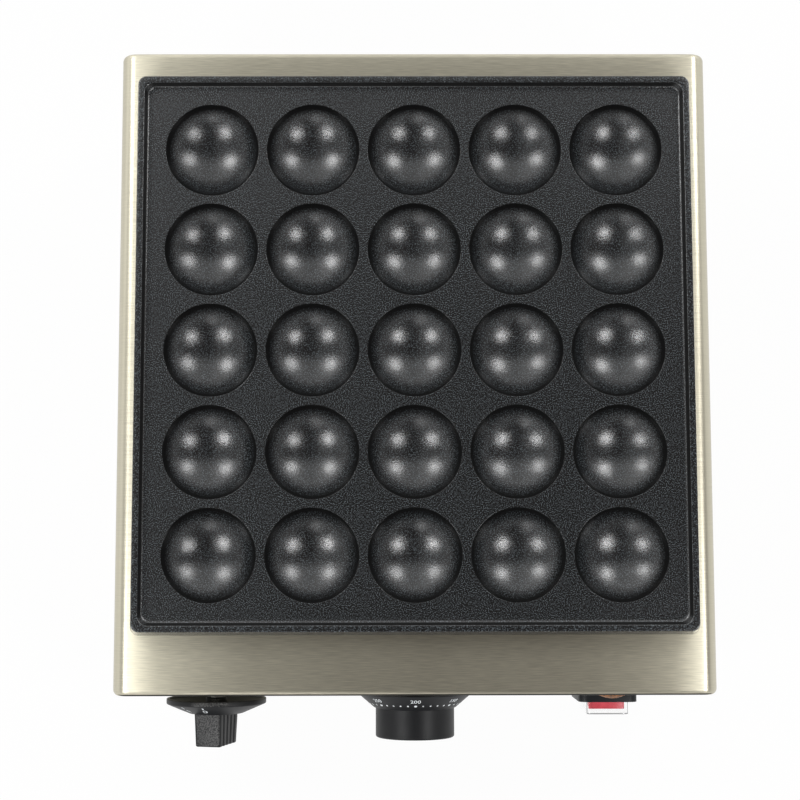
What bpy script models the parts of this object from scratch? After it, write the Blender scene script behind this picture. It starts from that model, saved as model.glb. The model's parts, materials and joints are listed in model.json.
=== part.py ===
"""Countertop mini pancake maker: a cast plate of round bowls over a tubular heater, in a folded steel casing.

Metres, +Z up. The control panel faces -Y, and the origin is on the table, under the middle of the machine's
outer box. Every size that can be set has a name below, and the places are worked out from those names.
"""

import math

import bmesh
import bpy
from mathutils import Matrix, Vector

# Fits shared by all pieces
GAP = 0.0003
HOLE_CLEARANCE = 0.0006
OVERRUN = 0.002
OVERLAP = 0.0005

# Cast plate
BOWLS_PER_SIDE = 5
BOWL_PITCH = 0.050
BOWL_RADIUS = 0.02305
BOWL_DEPTH = 0.0144
BOWL_WALL = 0.0018
BOWL_WALL_DRAFT = 0.00045
PLATE_MARGIN = 0.0320
PLATE_RIM_SLOPE = 0.0016
PLATE_RIM_WIDTH = 0.0030
PLATE_RIM_HEIGHT = 0.0033
PLATE_LIP_HEIGHT = 0.0115
PLATE_LIP_DRAFT = 0.0021
PLATE_LIP_SEAT = 0.0067
PLATE_CORNER = 0.004
PLATE_WEB = 0.0048

# Casing sheet work
SHEET = 0.001
CASING_HEIGHT = 0.130
CASING_SIDE_MARGIN = 0.0088
CASING_REAR_MARGIN = 0.0138
SIDE_BEND_RADIUS = 0.0074
END_BEND_RADIUS = 0.0021
CUTOUT_CLEARANCE = 0.0008
REAR_VENTS = 7
REAR_VENT_LENGTH = 0.040
REAR_VENT_X = -0.045
BASE_TRAY_WALL = 0.014
BASE_VENTS = 6
BASE_VENT_ROW_COUNT = 2
BASE_VENT_LENGTH = 0.050
BASE_VENT_ROW_PITCH = 0.080
VENT_WIDTH = 0.0036
VENT_PITCH = 0.013
VENT_CORNER = 0.0012
TRAY_CORNER = 0.0015

# Heater stack, from the plate down
ELEMENT_RADIUS = 0.0035
ELEMENT_END_MARGIN = 0.012
ELEMENT_BEND_RADIUS = 0.010
ELEMENT_LEG_INSET = 0.020
ELEMENT_LEG_REACH = 0.010
ELEMENT_LEG_CLEARANCE = 0.003
CLAMP_SHEET = 0.0012
CLAMP_MARGIN = 0.006
BLANKET_THICKNESS = 0.012
BLANKET_SLACK = 0.001
PAN_SHEET = 0.0008
PAN_CLEARANCE = 0.0012
PAN_FLANGE = 0.004
PLATE_BOLT_RADIUS = 0.003
PLATE_BOLT_HEAD_RADIUS = 0.0056
PLATE_BOLT_HEAD = 0.004
PLATE_BOLT_GRIP = 0.008
BULB_SLACK = 0.0005
BULB_LENGTH = 0.080
CAPILLARY_RADIUS = 0.0009
CAPILLARY_BEND_RADIUS = 0.008
CAPILLARY_HOLE_CLEARANCE = 0.0012

# Front panel layout
TIMER_INSET = 0.0462
SWITCH_INSET = 0.0498
THERMOSTAT_X = 0.0004
CONTROL_DROP = 0.0455
LAMP_DROP = 0.0185
SWITCH_DROP = 0.0485
BAY_CLEARANCE = 0.003
SHAFT_RADIUS = 0.003
SHAFT_GRIP = 0.012
SHAFT_SEAT = 0.008
BORE_SPARE = 0.0005
HUB_RADIUS = 0.0055
TAB_WIDTH = 0.0063
TAB_THICKNESS = 0.0012
TAB_LENGTH = 0.008

# Timer
TIMER_BODY_SIDE = 0.048
TIMER_BODY_DEPTH = 0.030
TIMER_BODY_CORNER = 0.003
TIMER_BUSH_RADIUS = 0.0048
TIMER_BUSH_SHOW = 0.0008
TIMER_NUT_RADIUS = 0.0081
TIMER_NUT_THICKNESS = 0.0025
TIMER_HUB_CLEARANCE = 0.0006
TIMER_TAB_X = 0.010
TIMER_TAB_DROP = 0.014
TIMER_SKIRT_RADIUS = 0.0254
TIMER_SKIRT_TOP_RADIUS = 0.0137
TIMER_SKIRT_BACK = 0.0045
TIMER_SKIRT_RIM = 0.0026
TIMER_SKIRT_CONE = 0.0050
TIMER_SKIRT_WALL = 0.0016
TIMER_GRIP_LENGTH = 0.0245
TIMER_GRIP_WIDTH = 0.0133
TIMER_GRIP_HEIGHT = 0.0161
TIMER_GRIP_CORNER = 0.0018
TIMER_GRIP_GROOVES = 4
TIMER_GRIP_GROOVE_PITCH = 0.0051
TIMER_GRIP_GROOVE_WIDTH = 0.0024
TIMER_GRIP_GROOVE_DEPTH = 0.0007
TIMER_REST_TURN = math.radians(15)

# Thermostat
THERMOSTAT_BODY_WIDTH = 0.043
THERMOSTAT_BODY_HEIGHT = 0.033
THERMOSTAT_BODY_DEPTH = 0.027
THERMOSTAT_BODY_CORNER = 0.002
THERMOSTAT_SCREW_INSET = 0.0075
THERMOSTAT_SCREW_X = THERMOSTAT_BODY_WIDTH / 2 - THERMOSTAT_SCREW_INSET
THERMOSTAT_SCREW_RADIUS = 0.00175
THERMOSTAT_SCREW_HEAD_RADIUS = 0.0034
THERMOSTAT_SCREW_HEAD = 0.0022
THERMOSTAT_SCREW_GRIP = 0.006
THERMOSTAT_TAB_X = 0.008
THERMOSTAT_TAB_DROP = 0.010
THERMOSTAT_HOLE_CLEARANCE = 0.001
DIAL_RADIUS = 0.0293
DIAL_TOP_RADIUS = 0.0210
DIAL_BACK = 0.0015
DIAL_RIM = 0.0007
DIAL_CONE = 0.0071
DIAL_WALL = 0.0018
DIAL_GRIP_RADIUS = 0.0201
DIAL_GRIP_HEIGHT = 0.015
DIAL_GRIP_EDGE = 0.0006
DIAL_HUB_BACK = 0.003

# Rocker switch, its frame and its boot
ROCKER_WIDTH = 0.0182
ROCKER_HEIGHT = 0.0238
ROCKER_FRONT = 0.0092
ROCKER_DISH = 0.0018
ROCKER_TAIL_RADIUS = 0.0118
ROCKER_WAIST = 0.004
ROCKER_PIVOT_DEPTH = 0.001
ROCKER_PIVOT_RADIUS = 0.0012
ROCKER_PIVOT_LENGTH = 0.0010
ROCKER_SIDE_CLEARANCE = 0.0003
ROCKER_TAIL_CLEARANCE = 0.0006
ROCKER_TILT = math.radians(10)
SWITCH_WALL = 0.0016
SWITCH_BODY_DEPTH = 0.025
SWITCH_FLOOR = 0.008
SWITCH_BEZEL = 0.0017
SWITCH_TAB_X = 0.006
SWITCH_TAB_Y = 0.007
BOOT_WALL = 0.0010
BOOT_CORNER = 0.0028
BOOT_SIDE_CLEARANCE = 0.0007
BOOT_END_CLEARANCE = 0.0005
BOOT_FRONT_CLEARANCE = 0.0012
BOOT_FLANGE = 0.0015
FRAME_BORDER = 0.00365
FRAME_WALL = 0.0015
FRAME_HEIGHT = 0.0056
FRAME_CORNER = 0.0045

# Pilot lamp
LAMP_LENS_RADIUS = 0.0066
LAMP_LENS_RIM = 0.0010
LAMP_LENS_DOME = 0.0016
LAMP_BODY_RADIUS = 0.0048
LAMP_BODY_DEPTH = 0.020
LAMP_CLIP_RADIUS = 0.0080
LAMP_CLIP_THICKNESS = 0.0012
LAMP_STUB = 0.004

# Rear panel and supply
GLAND_X = 0.090
GLAND_RISE = 0.030
GLAND_RADIUS = 0.0095
GLAND_HEX = 0.0050
GLAND_DOME_RADIUS = 0.0080
GLAND_DOME_END_RADIUS = 0.0062
GLAND_DOME = 0.0087
GLAND_NECK_RADIUS = 0.0058
GLAND_NECK = 0.008
GLAND_BORE_RADIUS = 0.0038
GLAND_NUT_THICKNESS = 0.004
EARTH_SPACING = 0.035
EARTH_STUD_RADIUS = 0.0025
EARTH_STUD_REACH = 0.009
EARTH_HEAD_RADIUS = 0.0045
EARTH_HEAD = 0.003
EARTH_NUT_RADIUS = 0.0046
EARTH_NUT_THICKNESS = 0.004
BLOCK_X = 0.060
BLOCK_SETBACK = 0.046
BLOCK_WIDTH = 0.036
BLOCK_LENGTH = 0.020
BLOCK_HEIGHT = 0.016
BLOCK_CORNER = 0.001
BLOCK_POLES = 3
BLOCK_POLE_PITCH = 0.010
WIRE_RADIUS = 0.0013
LEAD_RADIUS = 0.0018
LEAD_BEND = 0.010
WIRE_LEAD = 0.003
WIRE_SLACK = 0.38

# Feet and small screws
FOOT_HEIGHT = 0.015
FOOT_TOP_RADIUS = 0.013
FOOT_BOTTOM_RADIUS = 0.011
FOOT_EDGE = 0.0012
FOOT_INSET = 0.028
FOOT_SHOULDER = 0.006
FOOT_SCREW_RADIUS = 0.002
FOOT_SCREW_HEAD_RADIUS = 0.0042
FOOT_SCREW_HEAD = 0.003
FOOT_SCREW_SHOW = 0.001
FOOT_NUT_RADIUS = 0.0042
FOOT_NUT_THICKNESS = 0.0032
BASE_SCREW_RADIUS = 0.00175
BASE_SCREW_HEAD_RADIUS = 0.0036
BASE_SCREW_HEAD = 0.0018
BASE_SCREW_GRIP = 0.004
BASE_SCREW_RISE = 0.008
BASE_SCREW_INSET = 0.050

# How finely round shapes are cut
BOWL_STEPS = 16
BOWL_RINGS = 3
LARGE_STEPS = 32
MEDIUM_STEPS = 18
SMALL_STEPS = 10
HEX_STEPS = 6

# Plan sizes, as half widths measured from the middle of the bowl grid
FLOOR_HALF = (BOWLS_PER_SIDE - 1) / 2 * BOWL_PITCH + PLATE_MARGIN
RIM_INNER_HALF = FLOOR_HALF + PLATE_RIM_SLOPE
RIM_OUTER_HALF = RIM_INNER_HALF + PLATE_RIM_WIDTH
LIP_HALF = RIM_OUTER_HALF + PLATE_LIP_DRAFT
PLATE_BODY_HALF = LIP_HALF - PLATE_LIP_SEAT
PAN_INNER_HALF = PLATE_BODY_HALF + PAN_CLEARANCE
PAN_OUTER_HALF = PAN_INNER_HALF + PAN_SHEET
BAY_DEPTH = max(TIMER_BODY_DEPTH, THERMOSTAT_BODY_DEPTH, SWITCH_BODY_DEPTH) + BAY_CLEARANCE
CASING_HALF_WIDTH = LIP_HALF + CASING_SIDE_MARGIN
TIMER_X = TIMER_INSET - CASING_HALF_WIDTH
SWITCH_X = CASING_HALF_WIDTH - SWITCH_INSET
CASING_LENGTH = PAN_OUTER_HALF + BAY_DEPTH + SHEET + LIP_HALF + CASING_REAR_MARGIN

# The outer box runs from the timer grip's end to the gland's end, and the origin is under its middle
TIMER_GRIP_END = TIMER_SKIRT_BACK + TIMER_SKIRT_RIM + TIMER_SKIRT_CONE + TIMER_GRIP_HEIGHT
GLAND_REACH = GAP + GLAND_HEX + GLAND_DOME
FRONT_Y = (TIMER_GRIP_END - GLAND_REACH - CASING_LENGTH) / 2
REAR_Y = FRONT_Y + CASING_LENGTH
CASING_Y = (FRONT_Y + REAR_Y) / 2
PLATE_Y = FRONT_Y + SHEET + BAY_DEPTH + PAN_OUTER_HALF

# Levels
CASING_BOTTOM = FOOT_HEIGHT
CASING_TOP = CASING_BOTTOM + CASING_HEIGHT
LIP_BOTTOM = CASING_TOP + GAP
RIM_TOP = LIP_BOTTOM + PLATE_LIP_HEIGHT
FLOOR_TOP = RIM_TOP - PLATE_RIM_HEIGHT
PLATE_BACK = FLOOR_TOP - BOWL_DEPTH - PLATE_WEB
ELEMENT_Z = PLATE_BACK - GAP - ELEMENT_RADIUS
CLAMP_TOP = ELEMENT_Z - ELEMENT_RADIUS - GAP
CLAMP_BOTTOM = CLAMP_TOP - CLAMP_SHEET
BLANKET_TOP = CLAMP_BOTTOM - GAP
BLANKET_BOTTOM = BLANKET_TOP - BLANKET_THICKNESS
PAN_FLOOR = BLANKET_BOTTOM - GAP
PAN_BOTTOM = PAN_FLOOR - PAN_SHEET
PAN_TOP = CASING_TOP - SHEET - GAP
BASE_FLOOR = CASING_BOTTOM + SHEET
CONTROL_Z = CASING_TOP - CONTROL_DROP
SWITCH_Z = CASING_TOP - SWITCH_DROP
LAMP_Z = CASING_TOP - LAMP_DROP
GLAND_Z = CASING_BOTTOM + GLAND_RISE

# Which way a seated piece's own +Z looks
FACING_FRONT = (math.pi / 2, 0, 0)
FACING_REAR = (-math.pi / 2, 0, 0)
FACING_RIGHT = (0, math.pi / 2, 0)
FACING_LEFT = (0, -math.pi / 2, 0)
FACING_DOWN = (math.pi, 0, 0)
UPRIGHT = (0, 0, 0)

SMOOTH_ANGLE = math.radians(32)


for leftover in list(bpy.data.objects):
    bpy.data.objects.remove(leftover, do_unlink=True)

PARTS = bpy.data.collections.new("mini_pancake_maker")
CUTTERS = bpy.data.collections.new("cutters")
CUTTERS.hide_render = True
bpy.context.scene.collection.children.link(PARTS)
bpy.context.scene.collection.children.link(CUTTERS)


def finish(name, colour, roughness, metallic=0.0, alpha=1.0):
    """A Principled material."""
    material = bpy.data.materials.new(name)
    material.use_nodes = True
    shader = material.node_tree.nodes["Principled BSDF"]
    shader.inputs["Base Color"].default_value = (*colour, 1.0)
    shader.inputs["Roughness"].default_value = roughness
    shader.inputs["Metallic"].default_value = metallic
    shader.inputs["Alpha"].default_value = alpha
    return material


BRUSHED_STEEL = finish("brushed_steel", (0.52, 0.50, 0.43), 0.35, 1.0)
PLAIN_STEEL = finish("plain_steel", (0.45, 0.45, 0.44), 0.45, 1.0)
ZINC = finish("zinc_plated", (0.60, 0.60, 0.58), 0.35, 1.0)
NON_STICK = finish("non_stick_coating", (0.030, 0.031, 0.033), 0.42)
ELEMENT_STEEL = finish("element_sheath", (0.20, 0.18, 0.16), 0.5, 1.0)
FIBRE = finish("ceramic_fibre", (0.80, 0.78, 0.72), 0.95)
KNOB_BLACK = finish("knob_plastic", (0.025, 0.025, 0.027), 0.45)
HOUSING_BLACK = finish("housing_plastic", (0.020, 0.020, 0.022), 0.5)
COPPER = finish("copper", (0.70, 0.36, 0.22), 0.35, 1.0)
BRASS = finish("brass", (0.65, 0.50, 0.24), 0.35, 1.0)
CERAMIC = finish("terminal_ceramic", (0.82, 0.80, 0.75), 0.6)
ROCKER_RED = finish("rocker_red", (0.55, 0.02, 0.02), 0.3)
CLEAR_BOOT = finish("clear_boot", (0.80, 0.80, 0.82), 0.15, alpha=0.35)
AMBER = finish("amber_lens", (0.80, 0.25, 0.02), 0.2)
RUBBER = finish("rubber", (0.030, 0.030, 0.030), 0.8)
BROWN_WIRE = finish("brown_wire", (0.16, 0.06, 0.03), 0.5)
BLUE_WIRE = finish("blue_wire", (0.03, 0.10, 0.35), 0.5)
EARTH_WIRE = finish("earth_wire", (0.20, 0.42, 0.06), 0.5)


def seat(name, location, rotation=UPRIGHT, carrier=None):
    """An empty that carries the pieces of one sub-assembly in its own frame."""
    empty = bpy.data.objects.new(name, None)
    empty.location = location
    empty.rotation_euler = rotation
    empty.parent = carrier
    PARTS.objects.link(empty)
    return empty


def add(name, data, material=None, carrier=None, turn=UPRIGHT):
    """An object for a piece, or a hidden helper where no material is given."""
    obj = bpy.data.objects.new(name, data)
    obj.parent = carrier
    obj.rotation_euler = turn
    if material is None:
        obj.hide_render = True
        obj.display_type = "WIRE"
        CUTTERS.objects.link(obj)
    else:
        data.materials.append(material)
        PARTS.objects.link(obj)
    return obj


def round_edges(bm, edges, radius, steps):
    """Rounds the edges to the radius."""
    bmesh.ops.bevel(
        bm, geom=edges, offset=radius, offset_type="OFFSET", segments=steps, profile=0.5, affect="EDGES"
    )


def block_mesh(size, centre=(0, 0, 0), corner=0, steps=2):
    """A box whose upright edges may be rounded."""
    mesh = bpy.data.meshes.new("block")
    bm = bmesh.new()
    bmesh.ops.create_cube(bm, size=1.0, matrix=Matrix.Translation(centre) @ Matrix.Diagonal((*size, 1.0)))
    if corner:
        upright = [edge for edge in bm.edges if abs(edge.verts[0].co.z - edge.verts[1].co.z) > size[2] / 2]
        round_edges(bm, upright, corner, steps)
    bm.to_mesh(mesh)
    bm.free()
    return mesh


def slab_mesh(half_x, half_y, bottom, top, centre_y=0, corner=0, steps=2):
    """A box given by its half widths and its two levels."""
    size = (2 * half_x, 2 * half_y, top - bottom)
    return block_mesh(size, (0, centre_y, (bottom + top) / 2), corner, steps)


def tapered_slab_mesh(bottom_half, top_half, bottom, top, centre_y, corner, steps=3):
    """A square slab whose sides lean, from one half width at the bottom to another at the top."""
    mesh = slab_mesh(bottom_half, bottom_half, bottom, top, 0, corner, steps)
    for vertex in mesh.vertices:
        if vertex.co.z > (bottom + top) / 2:
            vertex.co.x *= top_half / bottom_half
            vertex.co.y *= top_half / bottom_half
        vertex.co.y += centre_y
    return mesh


def rod_mesh(radius, bottom, top, steps=SMALL_STEPS, centre=(0, 0)):
    """A capped cylinder along Z, or a hexagon with six steps."""
    mesh = bpy.data.meshes.new("rod")
    bm = bmesh.new()
    place = Matrix.Translation((centre[0], centre[1], (bottom + top) / 2))
    bmesh.ops.create_cone(
        bm, cap_ends=True, segments=steps, radius1=radius, radius2=radius, depth=top - bottom, matrix=place
    )
    bm.to_mesh(mesh)
    bm.free()
    return mesh


def turned(name, profile, steps, material=None, carrier=None, closed=False):
    """A shape turned about Z from (radius, height) points that run down its outer side."""
    count = len(profile)
    edges = [(i, (i + 1) % count) for i in range(count if closed else count - 1)]
    mesh = bpy.data.meshes.new(name)
    mesh.from_pydata([(radius, 0, height) for radius, height in profile], edges, [])
    obj = add(name, mesh, material, carrier)
    screw = obj.modifiers.new("turn", "SCREW")
    screw.axis = "Z"
    screw.steps = screw.render_steps = steps
    screw.use_merge_vertices = True
    screw.merge_threshold = OVERLAP / 50
    return obj


def arc(centre_x, centre_z, radius, start, end, steps):
    """Points on a circle, by angles measured from straight down towards +X."""
    angles = [start + (end - start) * i / steps for i in range(steps + 1)]
    return [(centre_x + radius * math.sin(a), centre_z - radius * math.cos(a)) for a in angles]


def prism_mesh(outline, half_thickness):
    """A flat outline extruded both ways along Z, as a mesh with welded caps."""
    curve = bpy.data.curves.new("outline", "CURVE")
    curve.dimensions = "2D"
    curve.fill_mode = "BOTH"
    curve.extrude = half_thickness
    spline = curve.splines.new("POLY")
    spline.points.add(len(outline) - 1)
    for point, (x, y) in zip(spline.points, outline):
        point.co = (x, y, 0, 1)
    spline.use_cyclic_u = True
    drawn = add("outline", curve)
    bpy.context.view_layer.update()
    graph = bpy.context.evaluated_depsgraph_get()
    mesh = bpy.data.meshes.new_from_object(drawn.evaluated_get(graph))
    bpy.data.objects.remove(drawn)
    bm = bmesh.new()
    bm.from_mesh(mesh)
    bmesh.ops.remove_doubles(bm, verts=bm.verts, dist=OVERLAP / 50)
    bm.to_mesh(mesh)
    bm.free()
    return mesh


def tube(name, points, radius, material):
    """A round tube or wire through the points."""
    curve = bpy.data.curves.new(name, "CURVE")
    curve.dimensions = "3D"
    curve.bevel_depth = radius
    curve.bevel_resolution = 2
    curve.use_fill_caps = True
    spline = curve.splines.new("POLY")
    spline.points.add(len(points) - 1)
    for point, place in zip(spline.points, points):
        point.co = (*place, 1)
    return add(name, curve, material)


def cut(target, cutters):
    """Takes all the cutters away from the target."""
    group = bpy.data.collections.new("cut_from_" + target.name)
    CUTTERS.children.link(group)
    for cutter in cutters:
        group.objects.link(cutter)
    boolean = target.modifiers.new("cut", "BOOLEAN")
    boolean.operation = "DIFFERENCE"
    boolean.operand_type = "COLLECTION"
    boolean.collection = group


def join(target, pieces):
    """Makes the target and the overlapping pieces one body."""
    for piece in pieces:
        boolean = target.modifiers.new("join", "BOOLEAN")
        boolean.operation = "UNION"
        boolean.object = piece


def screw_profile(radius, head_radius, head, length):
    """A pan head above z 0 and its shank below."""
    return [
        (0, head),
        (head_radius * 0.6, head),
        (head_radius, head * 0.45),
        (head_radius, 0),
        (radius, 0),
        (radius, -length),
        (0, -length),
    ]


def nut(name, radius, bore_radius, bottom, top, material, carrier):
    """A hexagon nut with a plain round bore."""
    body = add(name, rod_mesh(radius, bottom, top, HEX_STEPS), material, carrier)
    bore = add(name + "_bore", rod_mesh(bore_radius, bottom - OVERRUN, top + OVERRUN), None, carrier)
    cut(body, [bore])
    return body


def tab(name, x, y, back, carrier):
    """A flat terminal that sticks out behind a body whose back face is at the given level."""
    size = (TAB_WIDTH, TAB_THICKNESS, TAB_LENGTH + OVERLAP)
    centre = (x, y, back - (TAB_LENGTH - OVERLAP) / 2)
    return add(name, block_mesh(size, centre), None, carrier)


def corners(x_half, y_half):
    """The four corners of a rectangle, from the front left round to the rear left."""
    return [(-x_half, -y_half), (x_half, -y_half), (x_half, y_half), (-x_half, y_half)]


def plate_bolt_places():
    """Bolts sit between four bowls, one and a half pitches out from the middle."""
    reach = (BOWLS_PER_SIDE - 2) / 2 * BOWL_PITCH
    return [(x, PLATE_Y + y) for x, y in corners(reach, reach)]


def element_leg_places():
    y = PLATE_Y + PLATE_BODY_HALF - ELEMENT_LEG_INSET
    reach = (BOWLS_PER_SIDE - 1) / 2 * BOWL_PITCH
    return [(-reach, y), (reach, y)]


def foot_places():
    reach = CASING_LENGTH / 2 - FOOT_INSET
    return [(x, CASING_Y + y) for x, y in corners(CASING_HALF_WIDTH - FOOT_INSET, reach)]


def vertical_cutters(name, places, radius, bottom, top):
    """Round upright cutters, one at each place."""
    return [
        add(f"{name}_{i}", rod_mesh(radius, bottom, top, SMALL_STEPS, place))
        for i, place in enumerate(places, 1)
    ]


def bowl_cutters():
    """One cutter for each bowl: a short steep wall over a spherical bottom."""
    cap_radius = BOWL_RADIUS - BOWL_WALL_DRAFT
    cap_depth = BOWL_DEPTH - BOWL_WALL
    sphere_radius = (cap_radius**2 + cap_depth**2) / (2 * cap_depth)
    reach = math.asin(cap_radius / sphere_radius)
    sphere_z = sphere_radius - BOWL_DEPTH
    profile = [(0, OVERRUN), (BOWL_RADIUS, OVERRUN), (BOWL_RADIUS, 0)]
    profile += arc(0, sphere_z, sphere_radius, reach, 0, BOWL_RINGS)
    start = -(BOWLS_PER_SIDE - 1) / 2 * BOWL_PITCH
    cutters = []
    for row in range(BOWLS_PER_SIDE):
        for column in range(BOWLS_PER_SIDE):
            place = (start + column * BOWL_PITCH, PLATE_Y + start + row * BOWL_PITCH, FLOOR_TOP)
            carrier = seat(f"bowl_{row}_{column}", place)
            cutters.append(turned(f"bowl_cutter_{row}_{column}", profile, BOWL_STEPS, None, carrier))
    return cutters


def build_baking_plate(bolt_holes):
    """The casting: a leaning lip on the casing, a thick body below it, the floor and its bowls."""
    plate = add(
        "baking_plate",
        tapered_slab_mesh(LIP_HALF, RIM_OUTER_HALF, LIP_BOTTOM, RIM_TOP, PLATE_Y, PLATE_CORNER),
        NON_STICK,
    )
    body = add(
        "plate_body",
        slab_mesh(PLATE_BODY_HALF, PLATE_BODY_HALF, PLATE_BACK, FLOOR_TOP - OVERRUN, PLATE_Y, PLATE_CORNER),
    )
    slope = (RIM_INNER_HALF - FLOOR_HALF) / PLATE_RIM_HEIGHT
    recess = add(
        "floor_recess",
        tapered_slab_mesh(
            FLOOR_HALF,
            RIM_INNER_HALF + slope * OVERRUN,
            FLOOR_TOP,
            RIM_TOP + OVERRUN,
            PLATE_Y,
            PLATE_CORNER,
        ),
    )
    join(plate, [body])
    cut(plate, [recess])
    cut(plate, bowl_cutters() + bolt_holes)


def fold_casing_mesh():
    """The casing's skin, open underneath: wide bends along the top sides, tight ones at front and rear."""
    mesh = slab_mesh(CASING_HALF_WIDTH, CASING_LENGTH / 2, CASING_BOTTOM, CASING_TOP, CASING_Y)
    bm = bmesh.new()
    bm.from_mesh(mesh)

    def at_top(vertex):
        return abs(vertex.co.z - CASING_TOP) < OVERLAP

    def at_bottom(vertex):
        return abs(vertex.co.z - CASING_BOTTOM) < OVERLAP

    def at_end(vertex):
        return min(abs(vertex.co.y - FRONT_Y), abs(vertex.co.y - REAR_Y)) < OVERLAP

    def runs_back(edge):
        return abs(edge.verts[0].co.y - edge.verts[1].co.y) > OVERLAP

    top_sides = [edge for edge in bm.edges if all(at_top(v) for v in edge.verts) and runs_back(edge)]
    round_edges(bm, top_sides, SIDE_BEND_RADIUS, 6)
    ends = [edge for edge in bm.edges if all(at_end(v) for v in edge.verts) and not runs_back(edge)]
    rims = [edge for edge in ends if not all(at_bottom(v) for v in edge.verts)]
    round_edges(bm, rims, END_BEND_RADIUS, 2)
    opening = [face for face in bm.faces if all(at_bottom(v) for v in face.verts)]
    bmesh.ops.delete(bm, geom=opening, context="FACES")
    bm.to_mesh(mesh)
    bm.free()
    return mesh


def base_screw_seats():
    """Two seats on each side, facing out, for the screws that hold the base tray."""
    z = CASING_BOTTOM + BASE_SCREW_RISE
    reach = CASING_LENGTH / 2 - BASE_SCREW_INSET
    seats = []
    for i, (x, y) in enumerate(corners(CASING_HALF_WIDTH, reach), 1):
        facing = FACING_RIGHT if x > 0 else FACING_LEFT
        seats.append(seat(f"base_screw_seat_{i}", (x, CASING_Y + y, z), facing))
    return seats


def vent_cutters(name, count, rows, length, places, depth):
    """Slots in rows, placed by a function of the row and the slot's place in it."""
    cutters = []
    for row in range(rows):
        for i in range(count):
            offset = (i - (count - 1) / 2) * VENT_PITCH
            mesh = block_mesh((VENT_WIDTH, length, depth), (0, 0, 0), VENT_CORNER, 1)
            place, facing = places(row, offset)
            carrier = seat(f"{name}_place_{row}_{i}", place, facing)
            cutters.append(add(f"{name}_{row}_{i}", mesh, None, carrier))
    return cutters


def build_casing(seats, screw_holes):
    """The shell with its plate cut-out, control holes, rear holes and rear vents."""
    casing = add("casing_shell", fold_casing_mesh(), BRUSHED_STEEL)
    wall = casing.modifiers.new("sheet", "SOLIDIFY")
    wall.thickness = SHEET
    wall.offset = -1
    wall.use_even_offset = True
    cutout_half = PLATE_BODY_HALF + CUTOUT_CLEARANCE
    through = (-SHEET - OVERRUN, OVERRUN)
    core_x, core_y = switch_core_half()
    holes = [
        add(
            "plate_cutout",
            slab_mesh(
                cutout_half,
                cutout_half,
                CASING_TOP - SHEET - OVERRUN,
                CASING_TOP + OVERRUN,
                PLATE_Y,
                PLATE_CORNER,
            ),
        ),
        add("timer_hole", rod_mesh(TIMER_BUSH_RADIUS + GAP, *through, MEDIUM_STEPS), None, seats["timer"]),
        add(
            "thermostat_hole",
            rod_mesh(SHAFT_RADIUS + THERMOSTAT_HOLE_CLEARANCE, *through),
            None,
            seats["thermostat"],
        ),
        add("lamp_hole", rod_mesh(LAMP_BODY_RADIUS + GAP, *through, MEDIUM_STEPS), None, seats["lamp"]),
        add(
            "switch_hole",
            block_mesh(
                (2 * (core_x + GAP), 2 * (core_y + GAP), SHEET + 2 * OVERRUN),
                (0, 0, -SHEET / 2),
            ),
            None,
            seats["switch"],
        ),
        add("gland_hole", rod_mesh(GLAND_NECK_RADIUS + GAP, *through, MEDIUM_STEPS), None, seats["gland"]),
        add("earth_hole", rod_mesh(EARTH_STUD_RADIUS + HOLE_CLEARANCE, *through), None, seats["earth"]),
    ]
    for side in (-1, 1):
        mesh = rod_mesh(
            THERMOSTAT_SCREW_RADIUS + HOLE_CLEARANCE, *through, SMALL_STEPS, (side * THERMOSTAT_SCREW_X, 0)
        )
        holes.append(add("thermostat_screw_hole", mesh, None, seats["thermostat"]))

    def rear_vent(row, offset):
        return (REAR_VENT_X + offset, REAR_Y - SHEET / 2, (CASING_BOTTOM + PAN_BOTTOM) / 2), FACING_REAR

    holes += vent_cutters("rear_vent", REAR_VENTS, 1, REAR_VENT_LENGTH, rear_vent, SHEET + 2 * OVERRUN)
    cut(casing, holes + screw_holes)


def build_base(screw_holes, foot_holes):
    """The tray that closes the casing from below, with two rows of air slots."""
    half_x = CASING_HALF_WIDTH - SHEET - GAP
    half_y = CASING_LENGTH / 2 - SHEET - GAP
    top = CASING_BOTTOM + BASE_TRAY_WALL
    tray = add(
        "base_plate",
        slab_mesh(half_x, half_y, CASING_BOTTOM, top, CASING_Y, TRAY_CORNER + SHEET),
        PLAIN_STEEL,
    )
    cavity = add(
        "tray_cavity",
        slab_mesh(half_x - SHEET, half_y - SHEET, BASE_FLOOR, top + OVERRUN, CASING_Y, TRAY_CORNER),
    )

    def base_vent(row, offset):
        y = CASING_Y + (row - (BASE_VENT_ROW_COUNT - 1) / 2) * BASE_VENT_ROW_PITCH
        return (offset, y, CASING_BOTTOM + SHEET / 2), UPRIGHT

    vents = vent_cutters(
        "base_vent", BASE_VENTS, BASE_VENT_ROW_COUNT, BASE_VENT_LENGTH, base_vent, SHEET + 2 * OVERRUN
    )
    cut(tray, [cavity])
    cut(tray, vents + screw_holes + foot_holes)


def build_base_screws(seats):
    for i, carrier in enumerate(seats, 1):
        length = SHEET + GAP + SHEET + BASE_SCREW_GRIP
        profile = screw_profile(BASE_SCREW_RADIUS, BASE_SCREW_HEAD_RADIUS, BASE_SCREW_HEAD, length)
        lifted = [(radius, height + GAP) for radius, height in profile]
        turned(f"base_screw_{i}", lifted, SMALL_STEPS, ZINC, carrier)


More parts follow.
